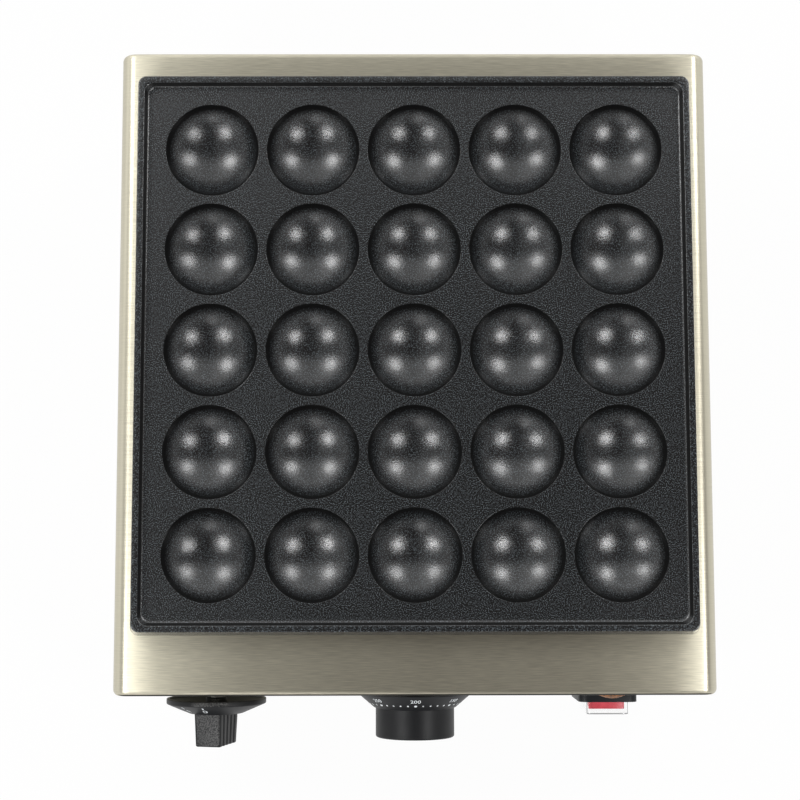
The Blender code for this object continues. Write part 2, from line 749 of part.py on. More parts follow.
def build_feet():
    """Rubber feet, each on a screw whose head is sunk in it and whose nut is inside the tray."""
    top = FOOT_HEIGHT - GAP
    bore = FOOT_SCREW_RADIUS + HOLE_CLEARANCE
    sink = FOOT_SCREW_HEAD_RADIUS + HOLE_CLEARANCE
    shoulder = top - FOOT_SHOULDER
    foot = [
        (bore, top),
        (FOOT_TOP_RADIUS, top),
        (FOOT_BOTTOM_RADIUS, FOOT_EDGE),
        (FOOT_BOTTOM_RADIUS - FOOT_EDGE, 0),
        (sink, 0),
        (sink, shoulder),
        (bore, shoulder),
    ]
    nut_bottom = BASE_FLOOR + GAP
    nut_top = nut_bottom + FOOT_NUT_THICKNESS
    length = nut_top + FOOT_SCREW_SHOW - (shoulder - GAP)
    screw = screw_profile(FOOT_SCREW_RADIUS, FOOT_SCREW_HEAD_RADIUS, FOOT_SCREW_HEAD, length)
    for i, (x, y) in enumerate(foot_places(), 1):
        carrier = seat(f"foot_seat_{i}", (x, y, 0))
        turned(f"foot_{i}", foot, MEDIUM_STEPS, RUBBER, carrier, closed=True)
        head = seat(f"foot_screw_seat_{i}", (0, 0, shoulder - GAP), FACING_DOWN, carrier)
        turned(f"foot_screw_{i}", screw, SMALL_STEPS, ZINC, head)
        nut(f"foot_nut_{i}", FOOT_NUT_RADIUS, FOOT_SCREW_RADIUS + GAP, nut_bottom, nut_top, ZINC, carrier)


def element_path():
    """From one leg's end up, under the bowls in four runs and three turns, and down the other leg."""
    (left, leg_y), (right, _) = element_leg_places()
    inner = right / 2
    small = (right - inner) / 2
    large = inner
    front = PLATE_Y - PLATE_BODY_HALF + ELEMENT_END_MARGIN + small
    rear = PLATE_Y + PLATE_BODY_HALF - ELEMENT_END_MARGIN - large
    end = PAN_BOTTOM - ELEMENT_LEG_REACH
    bend = ELEMENT_BEND_RADIUS

    def turn(centre_x, centre_y, radius, start, stop, steps):
        angles = [math.radians(start + (stop - start) * i / steps) for i in range(steps + 1)]
        return [(centre_x + radius * math.cos(a), centre_y + radius * math.sin(a), ELEMENT_Z) for a in angles]

    rise = [
        (leg_y - bend + bend * math.cos(a), ELEMENT_Z - bend + bend * math.sin(a))
        for a in [math.radians(90 * i / 3) for i in range(4)]
    ]
    points = [(left, leg_y, end)]
    points += [(left, y, z) for y, z in rise]
    points += turn((left - inner) / 2, front, small, 180, 360, 6)
    points += turn(0, rear, large, 180, 0, 8)
    points += turn((right + inner) / 2, front, small, 180, 360, 6)
    points += [(right, y, z) for y, z in reversed(rise)]
    points.append((right, leg_y, end))
    return points


def build_heater():
    """Element, clamp sheet, blanket, pan, bolts and the thermostat's bulb with its tube."""
    bolt_end = PLATE_BACK + PLATE_BOLT_GRIP
    bolt_holes = vertical_cutters(
        "plate_bolt_hole",
        plate_bolt_places(),
        PLATE_BOLT_RADIUS + HOLE_CLEARANCE,
        PAN_BOTTOM - OVERRUN,
        bolt_end + BORE_SPARE,
    )
    leg_holes = vertical_cutters(
        "element_leg_hole",
        element_leg_places(),
        ELEMENT_RADIUS + ELEMENT_LEG_CLEARANCE,
        PAN_BOTTOM - OVERRUN,
        BLANKET_TOP + OVERRUN,
    )
    tube("heating_element", element_path(), ELEMENT_RADIUS, ELEMENT_STEEL)

    leg_x, leg_y = element_leg_places()[1]
    clamp_half_x = leg_x + ELEMENT_RADIUS + CLAMP_MARGIN
    clamp_half_y = leg_y - PLATE_Y - ELEMENT_BEND_RADIUS - ELEMENT_RADIUS
    clamp = add(
        "element_clamp_plate",
        slab_mesh(clamp_half_x, clamp_half_y, CLAMP_BOTTOM, CLAMP_TOP, PLATE_Y, CLAMP_MARGIN),
        ZINC,
    )
    cut(clamp, bolt_holes)

    blanket_half = PAN_INNER_HALF - BLANKET_SLACK
    blanket = add(
        "insulation_blanket",
        slab_mesh(blanket_half, blanket_half, BLANKET_BOTTOM, BLANKET_TOP, PLATE_Y),
        FIBRE,
    )
    cut(blanket, bolt_holes + leg_holes)

    pan = add("heat_shield", slab_mesh(PAN_OUTER_HALF, PAN_OUTER_HALF, PAN_BOTTOM, PAN_TOP, PLATE_Y), ZINC)
    flange = add(
        "pan_flange",
        slab_mesh(
            CASING_HALF_WIDTH - SIDE_BEND_RADIUS,
            PAN_OUTER_HALF + PAN_FLANGE,
            PAN_TOP - PAN_SHEET,
            PAN_TOP - PAN_SHEET / 2,
            PLATE_Y,
        ),
    )
    cavity = add("pan_cavity", slab_mesh(PAN_INNER_HALF, PAN_INNER_HALF, PAN_FLOOR, PAN_TOP + OVERRUN, PLATE_Y))
    capillary_z = PLATE_BACK - GAP - (ELEMENT_RADIUS - BULB_SLACK)
    capillary_seat = seat("capillary_hole_seat", (0, PLATE_Y - PAN_OUTER_HALF, capillary_z), FACING_FRONT)
    capillary_hole = add(
        "capillary_hole",
        rod_mesh(CAPILLARY_RADIUS + CAPILLARY_HOLE_CLEARANCE, -PAN_SHEET - OVERRUN, OVERRUN),
        None,
        capillary_seat,
    )
    join(pan, [flange])
    cut(pan, [cavity])
    cut(pan, bolt_holes + leg_holes + [capillary_hole])

    head_top = PAN_BOTTOM - GAP
    for i, place in enumerate(plate_bolt_places(), 1):
        shank = rod_mesh(PLATE_BOLT_RADIUS, head_top - OVERLAP, bolt_end, SMALL_STEPS, place)
        bolt = add(f"plate_bolt_{i}", shank, ZINC)
        head = rod_mesh(PLATE_BOLT_HEAD_RADIUS, head_top - PLATE_BOLT_HEAD, head_top, HEX_STEPS, place)
        join(bolt, [add(f"plate_bolt_head_{i}", head)])

    bulb_radius = ELEMENT_RADIUS - BULB_SLACK
    bulb_front = PLATE_Y - BULB_LENGTH / 2
    bulb_seat = seat("bulb_seat", (0, bulb_front, capillary_z), FACING_REAR)
    add("thermostat_bulb", rod_mesh(bulb_radius, 0, BULB_LENGTH), COPPER, bulb_seat)

    bend = CAPILLARY_BEND_RADIUS
    drop_y = FRONT_Y + SHEET + GAP + THERMOSTAT_BODY_DEPTH / 2
    body_top = CONTROL_Z + THERMOSTAT_BODY_HEIGHT / 2
    quarter = [math.radians(90 * i / 5) for i in range(6)]
    path = [(0, bulb_front - GAP, capillary_z)]
    path += [
        (0, drop_y + bend - bend * math.sin(a), capillary_z - bend + bend * math.cos(a)) for a in quarter
    ]
    path.append((0, drop_y, body_top + GAP))
    tube("thermostat_capillary", path, CAPILLARY_RADIUS, COPPER)
    return bolt_holes


def shaft_cutter(name, bottom, top, carrier):
    return add(name, rod_mesh(SHAFT_RADIUS + GAP, bottom, top), None, carrier)


def grip_outline():
    """The timer grip seen from the front: a long bar with rounded ends and grooves down both long sides."""
    half_width = TIMER_GRIP_WIDTH / 2
    half_length = TIMER_GRIP_LENGTH / 2
    edge = TIMER_GRIP_CORNER
    side = [(half_width, -half_length + edge)]
    for i in range(TIMER_GRIP_GROOVES):
        middle = (i - (TIMER_GRIP_GROOVES - 1) / 2) * TIMER_GRIP_GROOVE_PITCH
        low = middle - TIMER_GRIP_GROOVE_WIDTH / 2
        high = middle + TIMER_GRIP_GROOVE_WIDTH / 2
        side += [(half_width, low), (half_width - TIMER_GRIP_GROOVE_DEPTH, middle), (half_width, high)]
    side.append((half_width, half_length - edge))
    angles = [math.radians(90 * i / 3) for i in range(1, 4)]
    side += [
        (half_width - edge + edge * math.cos(a), half_length - edge + edge * math.sin(a)) for a in angles
    ]
    side += [
        (-half_width + edge - edge * math.sin(a), half_length - edge + edge * math.cos(a))
        for a in [0] + angles[:-1]
    ]
    return side + [(-x, -y) for x, y in side]


def build_timer(carrier):
    """Clockwork body behind the panel, its bush and nut, the shaft, and the knob with its bar grip."""
    body_front = -SHEET - GAP
    body_back = body_front - TIMER_BODY_DEPTH
    nut_top = GAP + TIMER_NUT_THICKNESS
    bush_end = nut_top + TIMER_BUSH_SHOW
    hub_back = bush_end + TIMER_HUB_CLEARANCE
    side = TIMER_BODY_SIDE
    body = add(
        "timer_body",
        block_mesh((side, side, TIMER_BODY_DEPTH), (0, 0, (body_front + body_back) / 2), TIMER_BODY_CORNER),
        HOUSING_BLACK,
        carrier,
    )
    bush = add(
        "timer_bush", rod_mesh(TIMER_BUSH_RADIUS, body_front - OVERLAP, bush_end, MEDIUM_STEPS), None, carrier
    )
    tabs = [
        tab("timer_tab", sign * TIMER_TAB_X, -TIMER_TAB_DROP, body_back, carrier) for sign in (-1, 1)
    ]
    join(body, [bush] + tabs)
    shaft_bottom = body_front - SHAFT_SEAT
    cut(body, [shaft_cutter("timer_bore", shaft_bottom - BORE_SPARE, bush_end + OVERRUN, carrier)])
    nut("timer_nut", TIMER_NUT_RADIUS, TIMER_BUSH_RADIUS + GAP, GAP, nut_top, ZINC, carrier)
    shaft_top = hub_back + SHAFT_GRIP
    add("timer_shaft", rod_mesh(SHAFT_RADIUS, shaft_bottom, shaft_top), ZINC, carrier)

    rim = TIMER_SKIRT_BACK + TIMER_SKIRT_RIM
    top = rim + TIMER_SKIRT_CONE
    wall = TIMER_SKIRT_WALL
    skirt = [
        (0, top),
        (TIMER_SKIRT_TOP_RADIUS, top),
        (TIMER_SKIRT_RADIUS, rim),
        (TIMER_SKIRT_RADIUS, TIMER_SKIRT_BACK),
        (TIMER_SKIRT_RADIUS - wall, TIMER_SKIRT_BACK),
        (TIMER_SKIRT_RADIUS - wall, rim - wall),
        (TIMER_SKIRT_TOP_RADIUS - wall, top - wall),
        (HUB_RADIUS, top - wall),
        (HUB_RADIUS, hub_back),
        (0, hub_back),
    ]
    knob = turned("timer_knob", skirt, LARGE_STEPS, KNOB_BLACK, carrier)
    grip_bottom = top - wall
    grip_height = TIMER_GRIP_END - grip_bottom
    middle = seat("timer_grip_seat", (0, 0, grip_bottom + grip_height / 2), (0, 0, TIMER_REST_TURN), carrier)
    grip = add("timer_grip", prism_mesh(grip_outline(), grip_height / 2), None, middle)
    join(knob, [grip])
    cut(knob, [shaft_cutter("timer_knob_bore", hub_back - OVERRUN, shaft_top + BORE_SPARE, carrier)])


def build_thermostat(carrier):
    """Body on two screws behind the panel, the shaft, and the round knob with its scale skirt."""
    body_front = -SHEET - GAP
    body_back = body_front - THERMOSTAT_BODY_DEPTH
    body = add(
        "thermostat_body",
        block_mesh(
            (THERMOSTAT_BODY_WIDTH, THERMOSTAT_BODY_HEIGHT, THERMOSTAT_BODY_DEPTH),
            (0, 0, (body_front + body_back) / 2),
            THERMOSTAT_BODY_CORNER,
        ),
        CERAMIC,
        carrier,
    )
    tabs = [
        tab("thermostat_tab", sign * THERMOSTAT_TAB_X, -THERMOSTAT_TAB_DROP, body_back, carrier)
        for sign in (-1, 1)
    ]
    join(body, tabs)
    shaft_bottom = body_front - SHAFT_SEAT
    bores = [shaft_cutter("thermostat_bore", shaft_bottom - BORE_SPARE, OVERRUN, carrier)]
    screw_length = GAP + SHEET + GAP + THERMOSTAT_SCREW_GRIP
    profile = screw_profile(
        THERMOSTAT_SCREW_RADIUS, THERMOSTAT_SCREW_HEAD_RADIUS, THERMOSTAT_SCREW_HEAD, screw_length
    )
    for i, sign in enumerate((-1, 1), 1):
        x = sign * THERMOSTAT_SCREW_X
        screw_seat = seat(f"thermostat_screw_seat_{i}", (x, 0, GAP), UPRIGHT, carrier)
        turned(f"thermostat_screw_{i}", profile, SMALL_STEPS, ZINC, screw_seat)
        hole = rod_mesh(THERMOSTAT_SCREW_RADIUS + GAP, -screw_length - BORE_SPARE, OVERRUN)
        bores.append(add(f"thermostat_screw_bore_{i}", hole, None, screw_seat))
    cut(body, bores)

    shaft_top = DIAL_HUB_BACK + SHAFT_GRIP
    add("thermostat_shaft", rod_mesh(SHAFT_RADIUS, shaft_bottom, shaft_top), ZINC, carrier)
    rim = DIAL_BACK + DIAL_RIM
    shoulder = rim + DIAL_CONE
    end = shoulder + DIAL_GRIP_HEIGHT
    bore = SHAFT_RADIUS + GAP
    inner = shoulder - DIAL_WALL
    profile = [
        (0, end),
        (DIAL_GRIP_RADIUS - DIAL_GRIP_EDGE, end),
        (DIAL_GRIP_RADIUS, end - DIAL_GRIP_EDGE),
        (DIAL_GRIP_RADIUS, shoulder),
        (DIAL_TOP_RADIUS, shoulder),
        (DIAL_RADIUS, rim),
        (DIAL_RADIUS, DIAL_BACK),
        (DIAL_RADIUS - DIAL_WALL, DIAL_BACK),
        (DIAL_TOP_RADIUS - DIAL_WALL, inner),
        (DIAL_GRIP_RADIUS - DIAL_WALL, inner),
        (DIAL_GRIP_RADIUS - DIAL_WALL, end - DIAL_WALL),
        (HUB_RADIUS, end - DIAL_WALL),
        (HUB_RADIUS, DIAL_HUB_BACK),
        (bore, DIAL_HUB_BACK),
        (bore, shaft_top + BORE_SPARE),
        (0, shaft_top + BORE_SPARE),
    ]
    turned("thermostat_knob", profile, LARGE_STEPS, KNOB_BLACK, carrier)


def switch_core_half():
    """Half width and half height of the switch housing where it passes the panel."""
    half_x = ROCKER_WIDTH / 2 + ROCKER_SIDE_CLEARANCE + SWITCH_WALL
    half_y = ROCKER_TAIL_RADIUS + ROCKER_TAIL_CLEARANCE + SWITCH_WALL
    return half_x, half_y


def rocker_reach():
    """How far the rocker's edge stands off its pivot when out, and how far it spreads when pressed in."""
    edge = math.hypot(ROCKER_HEIGHT / 2, ROCKER_FRONT)
    lean = math.atan2(ROCKER_HEIGHT / 2, ROCKER_FRONT)
    return edge * math.cos(lean - ROCKER_TILT), edge * math.sin(lean + ROCKER_TILT)


def boot_sizes():
    """Outer half width, outer half height and outer front level of the boot."""
    out, spread = rocker_reach()
    half_x = ROCKER_WIDTH / 2 + BOOT_SIDE_CLEARANCE + BOOT_WALL
    half_y = spread + BOOT_END_CLEARANCE + BOOT_WALL
    front = out - ROCKER_PIVOT_DEPTH + BOOT_FRONT_CLEARANCE + BOOT_WALL
    return half_x, half_y, front


def build_rocker(carrier):
    """The rocker, seen from the side: a dished front, ends that clear the boot and a narrow tail."""
    half = ROCKER_HEIGHT / 2
    waist = math.sqrt(ROCKER_TAIL_RADIUS**2 - ROCKER_WAIST**2)
    tail = ROCKER_TAIL_RADIUS / 2
    outline = [
        (ROCKER_FRONT - ROCKER_DISH, 0),
        (ROCKER_FRONT, half),
        (ROCKER_WAIST, waist),
        (0, ROCKER_TAIL_RADIUS),
        (-tail, tail),
        (-tail, -tail),
        (0, -ROCKER_TAIL_RADIUS),
        (ROCKER_WAIST, -waist),
        (ROCKER_FRONT, -half),
    ]
    pivot = seat("rocker_pivot", (0, 0, -ROCKER_PIVOT_DEPTH), (0, -math.pi / 2, 0), carrier)
    rocker = add(
        "switch_rocker", prism_mesh(outline, ROCKER_WIDTH / 2), ROCKER_RED, pivot, (0, 0, -ROCKER_TILT)
    )
    reach = ROCKER_WIDTH / 2 + ROCKER_PIVOT_LENGTH
    join(rocker, [add("rocker_pin", rod_mesh(ROCKER_PIVOT_RADIUS, -reach, reach), None, pivot)])
    return pivot


def build_switch(carrier):
    """Housing, rocker, the boot's flange held under the frame, and the frame on the panel."""
    core_x, core_y = switch_core_half()
    boot_x, boot_y, boot_front = boot_sizes()
    frame_x = boot_x + GAP + FRAME_BORDER
    frame_y = boot_y + GAP + FRAME_BORDER
    pocket_x = frame_x - FRAME_WALL
    pocket_y = frame_y - FRAME_WALL
    bezel_top = GAP + SWITCH_BEZEL
    flange_bottom = bezel_top + GAP
    flange_top = flange_bottom + BOOT_FLANGE
    frame_top = GAP + FRAME_HEIGHT

    pivot = build_rocker(carrier)
    back = -SWITCH_BODY_DEPTH
    body_top = bezel_top - OVERLAP
    body = add(
        "switch_body",
        block_mesh((2 * core_x, 2 * core_y, body_top - back), (0, 0, (body_top + back) / 2)),
        HOUSING_BLACK,
        carrier,
    )
    bezel = add(
        "switch_bezel",
        block_mesh(
            (2 * (pocket_x - GAP), 2 * (pocket_y - GAP), SWITCH_BEZEL),
            (0, 0, (GAP + bezel_top) / 2),
            BOOT_CORNER,
        ),
        None,
        carrier,
    )
    tabs = [
        tab("switch_tab", x, y, back, carrier) for x, y in corners(SWITCH_TAB_X, SWITCH_TAB_Y)
    ]
    join(body, [bezel] + tabs)
    cavity_bottom = back + SWITCH_FLOOR
    cavity = add(
        "switch_cavity",
        block_mesh(
            (2 * (core_x - SWITCH_WALL), 2 * (core_y - SWITCH_WALL), bezel_top + OVERRUN - cavity_bottom),
            (0, 0, (bezel_top + OVERRUN + cavity_bottom) / 2),
        ),
        None,
        carrier,
    )
    pin_reach = ROCKER_WIDTH / 2 + ROCKER_PIVOT_LENGTH + GAP
    pin_hole = add("rocker_pin_hole", rod_mesh(ROCKER_PIVOT_RADIUS + GAP, -pin_reach, pin_reach), None, pivot)
    cut(body, [cavity])
    cut(body, [pin_hole])

    dome_bottom = flange_top - OVERLAP
    boot = add(
        "switch_boot",
        block_mesh(
            (2 * boot_x, 2 * boot_y, boot_front - dome_bottom),
            (0, 0, (boot_front + dome_bottom) / 2),
            BOOT_CORNER,
            3,
        ),
        CLEAR_BOOT,
        carrier,
    )
    flange = add(
        "boot_flange",
        block_mesh(
            (2 * (pocket_x - GAP), 2 * (pocket_y - GAP), BOOT_FLANGE),
            (0, 0, (flange_bottom + flange_top) / 2),
            BOOT_CORNER,
            3,
        ),
        None,
        carrier,
    )
    inside_top = boot_front - BOOT_WALL
    inside = add(
        "boot_inside",
        block_mesh(
            (2 * (boot_x - BOOT_WALL), 2 * (boot_y - BOOT_WALL), inside_top - flange_bottom + OVERRUN),
            (0, 0, (inside_top + flange_bottom - OVERRUN) / 2),
            BOOT_CORNER - BOOT_WALL,
            3,
        ),
        None,
        carrier,
    )
    join(boot, [flange])
    cut(boot, [inside])

    frame = add(
        "switch_frame",
        block_mesh((2 * frame_x, 2 * frame_y, FRAME_HEIGHT), (0, 0, GAP + FRAME_HEIGHT / 2), FRAME_CORNER, 4),
        HOUSING_BLACK,
        carrier,
    )
    pocket_top = flange_top + GAP
    pocket = add(
        "frame_pocket",
        block_mesh(
            (2 * pocket_x, 2 * pocket_y, pocket_top + OVERRUN),
            (0, 0, (pocket_top - OVERRUN) / 2),
            BOOT_CORNER,
            3,
        ),
        None,
        carrier,
    )
    mouth = add(
        "frame_mouth",
        block_mesh(
            (2 * (boot_x + GAP), 2 * (boot_y + GAP), frame_top + OVERRUN),
            (0, 0, (frame_top + OVERRUN) / 2),
            BOOT_CORNER,
            3,
        ),
        None,
        carrier,
    )
    cut(frame, [pocket])
    cut(frame, [mouth])


def build_lamp(carrier):
    """Amber lens in front of the panel, the lamp's body through it, and a push-on clip behind."""
    rim_top = GAP + LAMP_LENS_RIM
    dome_radius = (LAMP_LENS_RADIUS**2 + LAMP_LENS_DOME**2) / (2 * LAMP_LENS_DOME)
    reach = math.asin(LAMP_LENS_RADIUS / dome_radius)
    dome_z = rim_top + LAMP_LENS_DOME - dome_radius
    angles = [reach * i / 4 for i in range(5)]
    dome = [(dome_radius * math.sin(a), dome_z + dome_radius * math.cos(a)) for a in angles]
    lens = dome + [(LAMP_LENS_RADIUS, GAP), (0, GAP)]
    turned("pilot_lamp_lens", lens, MEDIUM_STEPS, AMBER, carrier)
    body = add(
        "pilot_lamp_body", rod_mesh(LAMP_BODY_RADIUS, -LAMP_BODY_DEPTH, 0, MEDIUM_STEPS), HOUSING_BLACK, carrier
    )
    stub_side = LAMP_BODY_RADIUS
    stub = add(
        "lamp_stub",
        block_mesh(
            (stub_side, stub_side, LAMP_STUB + OVERLAP), (0, 0, -LAMP_BODY_DEPTH - (LAMP_STUB - OVERLAP) / 2)
        ),
        None,
        carrier,
    )
    join(body, [stub])
    clip_top = -SHEET - GAP
    clip = [
        (LAMP_BODY_RADIUS + GAP, clip_top),
        (LAMP_CLIP_RADIUS, clip_top),
        (LAMP_CLIP_RADIUS, clip_top - LAMP_CLIP_THICKNESS),
        (LAMP_BODY_RADIUS + GAP, clip_top - LAMP_CLIP_THICKNESS),
    ]
    turned("pilot_lamp_clip", clip, MEDIUM_STEPS, ZINC, carrier, closed=True)


def build_gland(carrier):
    """Cable gland on the rear panel, with its nut inside and an open bore for a cord."""
    inside = -SHEET - GLAND_NECK
    hex_top = GAP + GLAND_HEX
    end = hex_top + GLAND_DOME
    shape = [
        (0, end),
        (GLAND_DOME_END_RADIUS, end),
        (GLAND_DOME_RADIUS, hex_top + GLAND_DOME / 2),
        (GLAND_DOME_RADIUS, GAP),
        (GLAND_NECK_RADIUS, GAP),
        (GLAND_NECK_RADIUS, inside),
        (0, inside),
    ]
    gland = turned("cord_gland", shape, MEDIUM_STEPS, HOUSING_BLACK, carrier)
    flats = add("gland_flats", rod_mesh(GLAND_RADIUS, GAP + OVERLAP / 2, hex_top, HEX_STEPS), None, carrier)
    join(gland, [flats])
    bore = add(
        "gland_bore", rod_mesh(GLAND_BORE_RADIUS, inside - OVERRUN, end + OVERRUN, MEDIUM_STEPS), None, carrier
    )
    cut(gland, [bore])
    nut_top = -SHEET - GAP
    nut(
        "gland_nut",
        GLAND_RADIUS,
        GLAND_NECK_RADIUS + GAP,
        nut_top - GLAND_NUT_THICKNESS,
        nut_top,
        HOUSING_BLACK,
        carrier,
    )


def build_earth(carrier):
    """Earth stud through the rear panel, its head inside and its nut outside."""
    head_top = -SHEET - GAP
    stud = [
        (0, EARTH_STUD_REACH),
        (EARTH_STUD_RADIUS, EARTH_STUD_REACH),
        (EARTH_STUD_RADIUS, head_top),
        (EARTH_HEAD_RADIUS, head_top),
        (EARTH_HEAD_RADIUS, head_top - EARTH_HEAD),
        (0, head_top - EARTH_HEAD),
    ]
    turned("earth_stud", stud, SMALL_STEPS, BRASS, carrier)
    nut("earth_nut", EARTH_NUT_RADIUS, EARTH_STUD_RADIUS + GAP, GAP, GAP + EARTH_NUT_THICKNESS, BRASS, carrier)


def block_pole(number, side):
    """Where a wire meets the terminal block: a pole counted from the right, on its front or rear face."""
    x = BLOCK_X + BLOCK_POLE_PITCH * ((BLOCK_POLES + 1) / 2 - number)
    y = REAR_Y - BLOCK_SETBACK - BLOCK_LENGTH / 2 + side * (BLOCK_LENGTH / 2 + GAP)
    return Vector((x, y, BASE_FLOOR + GAP + BLOCK_HEIGHT / 2))


def panel_point(x, drop_z, depth):
    """A point behind the front panel, by its depth from the panel's outer face."""
    return Vector((x, FRONT_Y + depth, drop_z))


def tab_end(x, z, back):
    """Where a wire meets a rear tab of a control whose body ends at the given depth."""
    return panel_point(x, z, back + TAB_LENGTH + GAP)


def bezier(start, start_way, end, end_way, steps):
    """Points along a smooth bend that leaves and arrives along the given ways, both ends left out."""
    handle = (end - start).length * WIRE_SLACK
    first = start + start_way * handle
    second = end - end_way * handle
    points = []
    for i in range(1, steps):
        t = i / steps
        u = 1 - t
        points.append(start * u**3 + first * (3 * u * u * t) + second * (3 * u * t * t) + end * t**3)
    return points


def wire(name, stops, material, radius=WIRE_RADIUS, steps=8):
    """A wire through stops, each a point and the way that the wire runs there, straight at both ends."""
    (first, first_way), *middle, (last, last_way) = stops
    eased = [(first + first_way * WIRE_LEAD, first_way), *middle, (last - last_way * WIRE_LEAD, last_way)]
    points = [first, eased[0][0]]
    for (start, start_way), (end, end_way) in zip(eased, eased[1:]):
        points += bezier(start, start_way, end, end_way, steps)
        points.append(end)
    points.append(last)
    tube(name, points, radius, material)


def build_wiring():
    """Terminal block on the tray, and the wires between it, the controls and the element's legs."""
    block_y = REAR_Y - BLOCK_SETBACK - BLOCK_LENGTH / 2
    bottom = BASE_FLOOR + GAP
    add(
        "terminal_block",
        block_mesh(
            (BLOCK_WIDTH, BLOCK_LENGTH, BLOCK_HEIGHT),
            (BLOCK_X, block_y, bottom + BLOCK_HEIGHT / 2),
            BLOCK_CORNER,
        ),
        CERAMIC,
    )
    forward = Vector((0, -1, 0))
    backward = Vector((0, 1, 0))
    up = Vector((0, 0, 1))
    leftward = Vector((-1, 0, 0))

    timer_back = SHEET + GAP + TIMER_BODY_DEPTH
    timer_tab_z = CONTROL_Z - TIMER_TAB_DROP
    timer_left = tab_end(TIMER_X - TIMER_TAB_X, timer_tab_z, timer_back)
    timer_right = tab_end(TIMER_X + TIMER_TAB_X, timer_tab_z, timer_back)
    thermostat_back = SHEET + GAP + THERMOSTAT_BODY_DEPTH
    thermostat_tab_z = CONTROL_Z - THERMOSTAT_TAB_DROP
    thermostat_left = tab_end(THERMOSTAT_X - THERMOSTAT_TAB_X, thermostat_tab_z, thermostat_back)
    thermostat_right = tab_end(THERMOSTAT_X + THERMOSTAT_TAB_X, thermostat_tab_z, thermostat_back)
    switch_tabs = [
        tab_end(SWITCH_X + x, SWITCH_Z + y, SWITCH_BODY_DEPTH)
        for x, y in corners(SWITCH_TAB_X, SWITCH_TAB_Y)
    ]
    low_left, low_right, high_right, high_left = switch_tabs
    legs = [Vector((x, y, PAN_BOTTOM - ELEMENT_LEG_REACH - GAP)) for x, y in element_leg_places()]

    wire("live_wire", [(block_pole(1, -1), forward), (low_right, forward)], BROWN_WIRE)
    wire("neutral_wire", [(block_pole(2, -1), forward), (high_right, forward)], BLUE_WIRE)
    wire("switched_wire", [(low_left, backward), (thermostat_right, forward)], BROWN_WIRE)
    wire("timer_wire", [(thermostat_left, backward), (timer_right, forward)], BROWN_WIRE)
    wire("element_wire_left", [(timer_left, backward), (legs[0], up)], BROWN_WIRE)
    wire("element_wire_right", [(high_left, backward), (legs[1], up)], BLUE_WIRE)

    stud_head = Vector((GLAND_X - EARTH_SPACING, REAR_Y - SHEET - GAP - EARTH_HEAD - GAP, GLAND_Z))
    wire("earth_wire", [(stud_head, forward), (block_pole(3, 1), forward)], EARTH_WIRE)

    lamp_end = panel_point(SWITCH_X, LAMP_Z, LAMP_BODY_DEPTH + LAMP_STUB + GAP)
    bay_middle = SHEET + (SWITCH_BODY_DEPTH + BAY_DEPTH) / 2
    core_x, _ = switch_core_half()
    turn = panel_point(SWITCH_X - core_x - LEAD_BEND, LAMP_Z - LEAD_BEND, bay_middle)
    thermostat_side = panel_point(
        THERMOSTAT_X + THERMOSTAT_BODY_WIDTH / 2 + GAP,
        CONTROL_Z,
        SHEET + GAP + THERMOSTAT_BODY_DEPTH / 2,
    )
    wire(
        "lamp_lead",
        [(lamp_end, backward), (turn, leftward), (thermostat_side, leftward)],
        BROWN_WIRE,
        LEAD_RADIUS,
        steps=5,
    )


def front_seats():
    return {
        "timer": seat("timer_axis", (TIMER_X, FRONT_Y, CONTROL_Z), FACING_FRONT),
        "thermostat": seat("thermostat_axis", (THERMOSTAT_X, FRONT_Y, CONTROL_Z), FACING_FRONT),
        "switch": seat("switch_seat", (SWITCH_X, FRONT_Y, SWITCH_Z), FACING_FRONT),
        "lamp": seat("lamp_seat", (SWITCH_X, FRONT_Y, LAMP_Z), FACING_FRONT),
        "gland": seat("gland_seat", (GLAND_X, REAR_Y, GLAND_Z), FACING_REAR),
        "earth": seat("earth_seat", (GLAND_X - EARTH_SPACING, REAR_Y, GLAND_Z), FACING_REAR),
    }


def keep_shapes():
    """Turns each piece's modifiers into its mesh and shades its round faces smooth."""
    bpy.context.view_layer.update()
    graph = bpy.context.evaluated_depsgraph_get()
    made = {
        obj: bpy.data.meshes.new_from_object(obj.evaluated_get(graph))
        for obj in PARTS.objects
        if obj.type == "MESH"
    }
    for obj, mesh in made.items():
        obj.modifiers.clear()
        obj.data = mesh
        mesh.name = obj.name
        mesh.shade_smooth()
        mesh.set_sharp_from_angle(angle=SMOOTH_ANGLE)


def main():
    seats = front_seats()
    screw_seats = base_screw_seats()
    screw_holes = [
        add(
            f"base_screw_hole_{i}",
            rod_mesh(BASE_SCREW_RADIUS + HOLE_CLEARANCE, -2 * SHEET - GAP - OVERRUN, OVERRUN),
            None,
            carrier,
        )
        for i, carrier in enumerate(screw_seats, 1)
    ]
    foot_holes = vertical_cutters(
        "foot_hole",
        foot_places(),
        FOOT_SCREW_RADIUS + HOLE_CLEARANCE,
        CASING_BOTTOM - OVERRUN,
        BASE_FLOOR + OVERRUN,
    )
    bolt_holes = build_heater()
    build_baking_plate(bolt_holes)
    build_casing(seats, screw_holes)
    build_base(screw_holes, foot_holes)
    build_base_screws(screw_seats)
    build_feet()
    build_timer(seats["timer"])
    build_thermostat(seats["thermostat"])
    build_switch(seats["switch"])
    build_lamp(seats["lamp"])
    build_gland(seats["gland"])
    build_earth(seats["earth"])
    build_wiring()
    keep_shapes()


main()
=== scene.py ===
"""Dresses the mini pancake maker: its finishes, fine shapes for what shows, and the photograph's view.

Everything is in metres, in the CAD's own frame: +Z up, the control panel faces -Y. Each sub-assembly is
a class that reads its places from the CAD nodes' boxes, builds its fine pieces and gives each its finish.
"""

from __future__ import annotations

